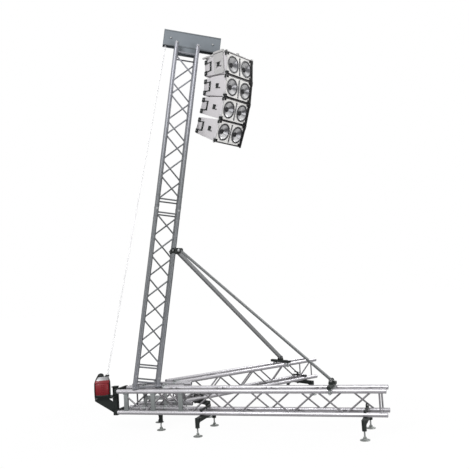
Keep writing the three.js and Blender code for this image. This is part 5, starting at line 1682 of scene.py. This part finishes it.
def addGrip(rims, grips, side, place):
    middle = place @ move(0, 0, -cabinet["height"] / 2)
    addSidePlate(rims, side, grip["rim"], *grip["rimOut"], middle, [grip["opening"]])
    addSidePlate(grips, side, grip["opening"], *grip["backOut"], middle, edge=0)
    y = side * (cabinet["half"] + grip["barOut"])
    ends = [(x, y, grip["barZ"]) for x in grip["barXs"]]
    addTube(grips, *ends, grip["bar"], place=middle, sides=14)
    addSideBlock(grips, side, grip["catchLow"], grip["catchTop"], *grip["catchOut"], middle)


def makeRigging(name, place, body, node):
    black, bars, grips, rims, pins = bmesh.new(), bmesh.new(), bmesh.new(), bmesh.new(), []
    low, reach = -cabinet["height"] - cabinet["gap"] / 2, cabinet["half"] + rigging["rodOut"]
    addCrossTube(black, (cabinet["hingeX"], low), -reach, reach, rigging["rod"], place=place)
    for side in (-1, 1):
        addSideBars(black, bars, pins, side, place)
        addAngledBrace(black, pins, side, place)
        addGrip(rims, grips, side, place)
    finishPiece(black, f"{name}Rigging", "black", body=body, nodes=[node])
    finishPiece(bars, f"{name}SideBars", "cabinet", body=body, nodes=[node])
    finishPiece(grips, f"{name}Handles", "black", body=body)
    finishPiece(rims, f"{name}HandleRims", "cabinet", body=body)
    growBolts(pins, f"{name}Pins", "rigging", body=body)


makeYoke()
makeStem()
makeFlyFrame()
makeFlyPlates()
bodies = ("top_cabinet", "second_cabinet", "third_cabinet", "bottom_cabinet")
for index, (place, body) in enumerate(zip(cabinetFrames(), bodies), 1):
    makeEnclosure(f"cabinet{index}", place, body, f"cabinet_{index}_enclosure")
    makeFront(f"cabinet{index}", place, body, f"cabinet_{index}_baffle", trim["gapShadowRises"][index - 1])
    makeRigging(f"cabinet{index}", place, body, f"cabinet_{index}_rigging")
print("array made")


# Chain hoist at the foot of the near leg: a case, and over it a cover that narrows to its crown.
hoist = {
    "rear": -0.47, "front": -0.3, "half": 0.072, "low": 0.41, "shoulder": 0.57, "chamfer": 0.022,
    "caseEdge": 0.006,
    "coverLow": 0.5704, "coverTop": 0.64, "crown": box((-0.436, -0.04), (-0.306, 0.04)),
    "levels": (0, 0.12, 0.35, 0.6, 0.82, 1), "bulge": 1.35, "seam": 0.45, "coverEdge": 0.012,
    "shoeOut": 0.0015, "shoeLow": 0.4105, "shoeTop": 0.436, "shoeEdge": 0.003,
    "capX": -0.399, "cap": 0.037, "capRise": 0.04, "capStraight": 0.3, "capSunk": 0.002, "capSteps": 8,
    "guide": [(0.019, 0), (0.025, 0), (0.023, 0.014), (0.019, 0.018), (0.0165, 0.018), (0.0165, 0.004)],
    "ribs": 7, "firstRib": 0.434, "ribPitch": 0.019, "ribX": -0.373, "ribOut": 0.0012,
    "rib": {"Blade Length": 0.05, "Blade Width": 0.0045, "Blade Depth": 0.004},
    "screwXs": (-0.352, -0.31), "screwY": 0.03,
}
# Curved straps down the front and rear of the case, as (x, z) paths that spread sideways on their way down
strap = {
    "radius": 0.006, "lap": 0.002, "edge": 0.001, "narrow": 0.026, "widening": 0.03, "top": 0.66,
    "depth": 0.09,
    "paths": (
        [(-0.425, 0.66), (-0.441, 0.636), (-0.458, 0.606), (-0.4705, 0.5704), (-0.4725, 0.5), (-0.4715, 0.414)],
        [(-0.348, 0.643), (-0.322, 0.63), (-0.308, 0.606), (-0.2985, 0.5704), (-0.2975, 0.5), (-0.2985, 0.414)],
    ),
}


def casePlan(out=0.0):
    rear, front, half, cut = hoist["rear"] - out, hoist["front"] + out, hoist["half"] + out, hoist["chamfer"]
    return [
        (rear + cut, -half), (front - cut, -half), (front, -half + cut), (front, half - cut),
        (front - cut, half), (rear + cut, half), (rear, half - cut), (rear, -half + cut),
    ]


# The cover is cut in two at its seam: the upper part is silver and the lower one red.
def makeHoistCover():
    low, top, half = hoist["coverLow"], hoist["coverTop"], hoist["half"]
    base = box((hoist["rear"], -half), (hoist["front"], half))
    part, levels = bmesh.new(), []
    for share in hoist["levels"]:
        bulge, z = share ** hoist["bulge"], low + (top - low) * share
        pairs = zip(base, hoist["crown"])
        ring = [(bx + (cx - bx) * bulge, by + (cy - by) * bulge, z) for (bx, by), (cx, cy) in pairs]
        levels.append([part.verts.new(spot) for spot in ring])
    part.faces.new(levels[0][::-1])
    part.faces.new(levels[-1])
    for first, second in zip(levels, levels[1:]):
        for step in range(4):
            after = (step + 1) % 4
            part.faces.new((first[step], first[after], second[after], second[step]))
    uprights = [e for e in part.edges if abs((e.verts[0].co - e.verts[1].co).normalized().z) > 0.3]
    roundEdges(part, uprights, hoist["coverEdge"], 3, 0.5)
    bmesh.ops.transform(part, matrix=towerFrame, verts=part.verts)
    seam = (0, 0, low + (top - low) * hoist["seam"])
    for name, finish, lower in (("hoistShoulders", "silver", False), ("hoistBell", "red", True)):
        shape = part.copy()
        whole = [*shape.verts, *shape.edges, *shape.faces]
        cut = bmesh.ops.bisect_plane(
            shape, geom=whole, plane_co=seam, plane_no=(0, 0, 1), clear_outer=lower, clear_inner=not lower)
        rim = [e for e in cut["geom_cut"] if isinstance(e, bmesh.types.BMEdge)]
        bmesh.ops.contextual_create(shape, geom=rim)
        bmesh.ops.recalc_face_normals(shape, faces=shape.faces[:])
        finishPiece(shape, name, finish, nodes=["hoist_cover"], smooth=50)
    part.free()


def addStraps(bm):
    for side in (-1, 1):
        for path in strap["paths"]:
            spots = []
            for x, z in path:
                share = min(1, (strap["top"] - z) / strap["depth"])
                spots.append(Vector((x, side * (strap["narrow"] + strap["widening"] * share), z)))
            for start, end in zip(spots, spots[1:]):
                beyond = end + (end - start).normalized() * strap["lap"]
                addTube(bm, start, beyond, strap["radius"], place=towerFrame, sides=14, edge=strap["edge"])


def makeHoist():
    bm = bmesh.new()
    addPlate(bm, casePlan(), hoist["low"], hoist["shoulder"], towerFrame, edge=hoist["caseEdge"])
    finishPiece(bm, "hoistCase", "red", nodes=["hoist_case"])
    makeHoistCover()

    bm, top = bmesh.new(), hoist["coverTop"]
    radius, rise, straight, steps = (hoist[key] for key in ("cap", "capRise", "capStraight", "capSteps"))
    angles = [step * pi / 2 / steps for step in range(steps)]
    dome = [(radius * cos(a), rise * (straight + (1 - straight) * sin(a))) for a in angles]
    foot = -hoist["capSunk"]
    addTurned(bm, [(0, foot), (radius, foot), *dome, (0, rise)], towerFrame @ move(hoist["capX"], 0, top), 40)
    addStraps(bm)
    shoe = casePlan(hoist["shoeOut"])
    addPlate(bm, shoe, hoist["shoeLow"], hoist["shoeTop"], towerFrame, edge=hoist["shoeEdge"])
    addTurned(bm, hoist["guide"], towerFrame @ move(hoistMouth[0], 0, top), 32, loop=True)
    finishPiece(bm, "hoistTrim", "black", nodes=["hoist_cover"])

    ribs, screws = [], []
    for step in range(hoist["ribs"]):
        z = hoist["firstRib"] + hoist["ribPitch"] * step
        for side in (-1, 1):
            mark(ribs, towerFrame, (hoist["ribX"], side * (hoist["half"] + hoist["ribOut"]), z), (0, 0, 1))
    growOnPoints(ribs, "hoistRibs", "blade", "red", hoist["rib"])
    for x in hoist["screwXs"]:
        for side in (-1, 1):
            mark(screws, towerFrame, (x, side * hoist["screwY"], top), (0, 0, 1))
    growBolts(screws, "hoistScrews", "hoist")


# Bracket: a post clamped to the near leg, and a shelf on two ribs that carries the hoist.
bracket = {
    "x": -0.088, "y": -0.05, "half": 0.028, "wall": 0.004, "low": 0.18, "top": 0.505, "capHalf": 0.036,
    "capDepth": 0.012, "barXs": (-0.06035, -0.02835), "barHalf": 0.145, "barRise": 0.03,
    "barZs": (0.225, 0.465), "boltX": -0.0605, "boltY": 0.12, "edge": 0.003,
}
shelf = {
    "rear": -0.476, "front": -0.236, "half": 0.06, "low": 0.3966, "top": 0.4096,
    "rib": [(-0.476, 0.4091), (-0.476, 0.3626), (-0.262, 0.212), (-0.236, 0.212), (-0.236, 0.4091)],
    "window": [(-0.32, 0.3786), (-0.27, 0.3366), (-0.27, 0.3786)],
    "ribY": 0.02, "ribHalf": 0.006, "boltXs": (-0.456, -0.27), "boltY": 0.045,
}


def makeBracket():
    bm, bolts = bmesh.new(), []
    x, y, half, low, top = (bracket[key] for key in ("x", "y", "half", "low", "top"))
    addSection(bm, half, bracket["wall"], top - low, nearFrame @ move(x, y, low))
    out, edge = bracket["capHalf"], bracket["edge"]
    corner = (x + half, y + out, top + bracket["capDepth"])
    addBlock(bm, (x - out, y - out, top), corner, nearFrame, edge)
    back, front = bracket["barXs"]
    reach, rise = bracket["barHalf"], bracket["barRise"]
    for z in bracket["barZs"]:
        addBlock(bm, (back, -reach, z - rise), (front, reach, z + rise), nearFrame, edge)
        for end in (-1, 1):
            mark(bolts, nearFrame, (bracket["boltX"], end * bracket["boltY"], z), (-1, 0, 0))
    half, rib = shelf["half"], shelf["ribHalf"]
    addBlock(bm, (shelf["rear"], -half, shelf["low"]), (shelf["front"], half, shelf["top"]), towerFrame)
    for y in (-shelf["ribY"], shelf["ribY"]):
        addUpright(bm, shelf["rib"], y - rib, y + rib, towerFrame, [shelf["window"]])
    for x in shelf["boltXs"]:
        for y in (shelf["boltY"], -shelf["boltY"]):
            mark(bolts, towerFrame, (x, y, shelf["low"]), (0, 0, -1))
    finishPiece(bm, "hoistBracket", "black", nodes=["hoist_bracket"])
    growBolts(bolts, "bracketBolts", "bracket")


makeHoist()
makeBracket()
print("hoist made")


# Studio: pale floor that keeps the shadow, white all round, soft lamps.
studio = {
    "fill": 0.28, "white": (1, 1, 1, 1), "floorHalf": 40, "floorSunk": 0.0005, "paper": (0.4, 0.4, 0.4, 1),
    "roughness": 0.9, "specular": 0.1, "glow": 1.05, "floorGlow": 0.92, "glowFrom": 2.5, "glowTo": 6.5,
}
# Power in watts, size, place, and the height that the lamp is aimed at
lamps = {
    "keyLamp": (680, 3.5, (-4.5, -6.5, 7.5), 2),
    "rimLamp": (260, 3, (5.5, 3, 6), 2),
    "sideLamp": (260, 3, (3.6, -6.5, 1.2), 3.6),
    "leftLamp": (110, 3, (-7.5, -1.5, 3), 2),
}


# The camera sees a brighter world than the one that lights the object.
def makeWorld():
    world = bpy.data.worlds.new("studio")
    scene.world = world
    world.use_nodes = True
    tree = world.node_tree
    path = addNode(tree, "ShaderNodeLightPath", {}).outputs
    seen = addMath(tree, "MAXIMUM", path["Is Camera Ray"], path["Is Glossy Ray"])
    seen = addMath(tree, "MAXIMUM", seen, path["Is Transmission Ray"])
    strength = spread(tree, seen, 0, 1, studio["fill"], 1)
    feed(tree, tree.nodes["Background"], {"Color": studio["white"], "Strength": strength})


# The floor glows towards its edges, for the camera only.
def makeFloor():
    material, tree, shader, where = startMaterial("floorPaper")
    surface = {"Base Color": "paper", "Roughness": "roughness", "Specular IOR Level": "specular"}
    feed(tree, shader, {socket: studio[key] for socket, key in surface.items()})
    glow = addNode(tree, "ShaderNodeEmission", {"Color": studio["white"], "Strength": studio["glow"]})
    reach = addNode(tree, "ShaderNodeVectorMath", {0: where}, operation="LENGTH").outputs["Value"]
    share = spread(tree, reach, studio["glowFrom"], studio["glowTo"], studio["floorGlow"], 1)
    seen = addNode(tree, "ShaderNodeLightPath", {}).outputs["Is Camera Ray"]
    sockets = {0: addMath(tree, "MULTIPLY", share, seen), 1: shader.outputs[0], 2: glow.outputs[0]}
    mix = addNode(tree, "ShaderNodeMixShader", sockets)
    feed(tree, tree.nodes["Material Output"], {"Surface": mix.outputs[0]})

    bm, far = bmesh.new(), studio["floorHalf"]
    bm.faces.new([bm.verts.new((x, y, -studio["floorSunk"])) for x, y in box((-far, -far), (far, far))])
    mesh = bpy.data.meshes.new("studioFloor")
    bm.to_mesh(mesh)
    bm.free()
    mesh.materials.append(material)
    floor = bpy.data.objects.new("studioFloor", mesh)
    scene.collection.objects.link(floor)


def makeLamps():
    for name, (power, size, place, height) in lamps.items():
        data = bpy.data.lights.new(name, "AREA")
        data.energy = power
        data.size = size
        lamp = bpy.data.objects.new(name, data)
        aim = Vector((0, 0, height)) - Vector(place)
        lamp.matrix_world = move(*place) @ aim.to_track_quat("-Z", "Y").to_matrix().to_4x4()
        scene.collection.objects.link(lamp)


makeWorld()
makeFloor()
makeLamps()
print("studio set")
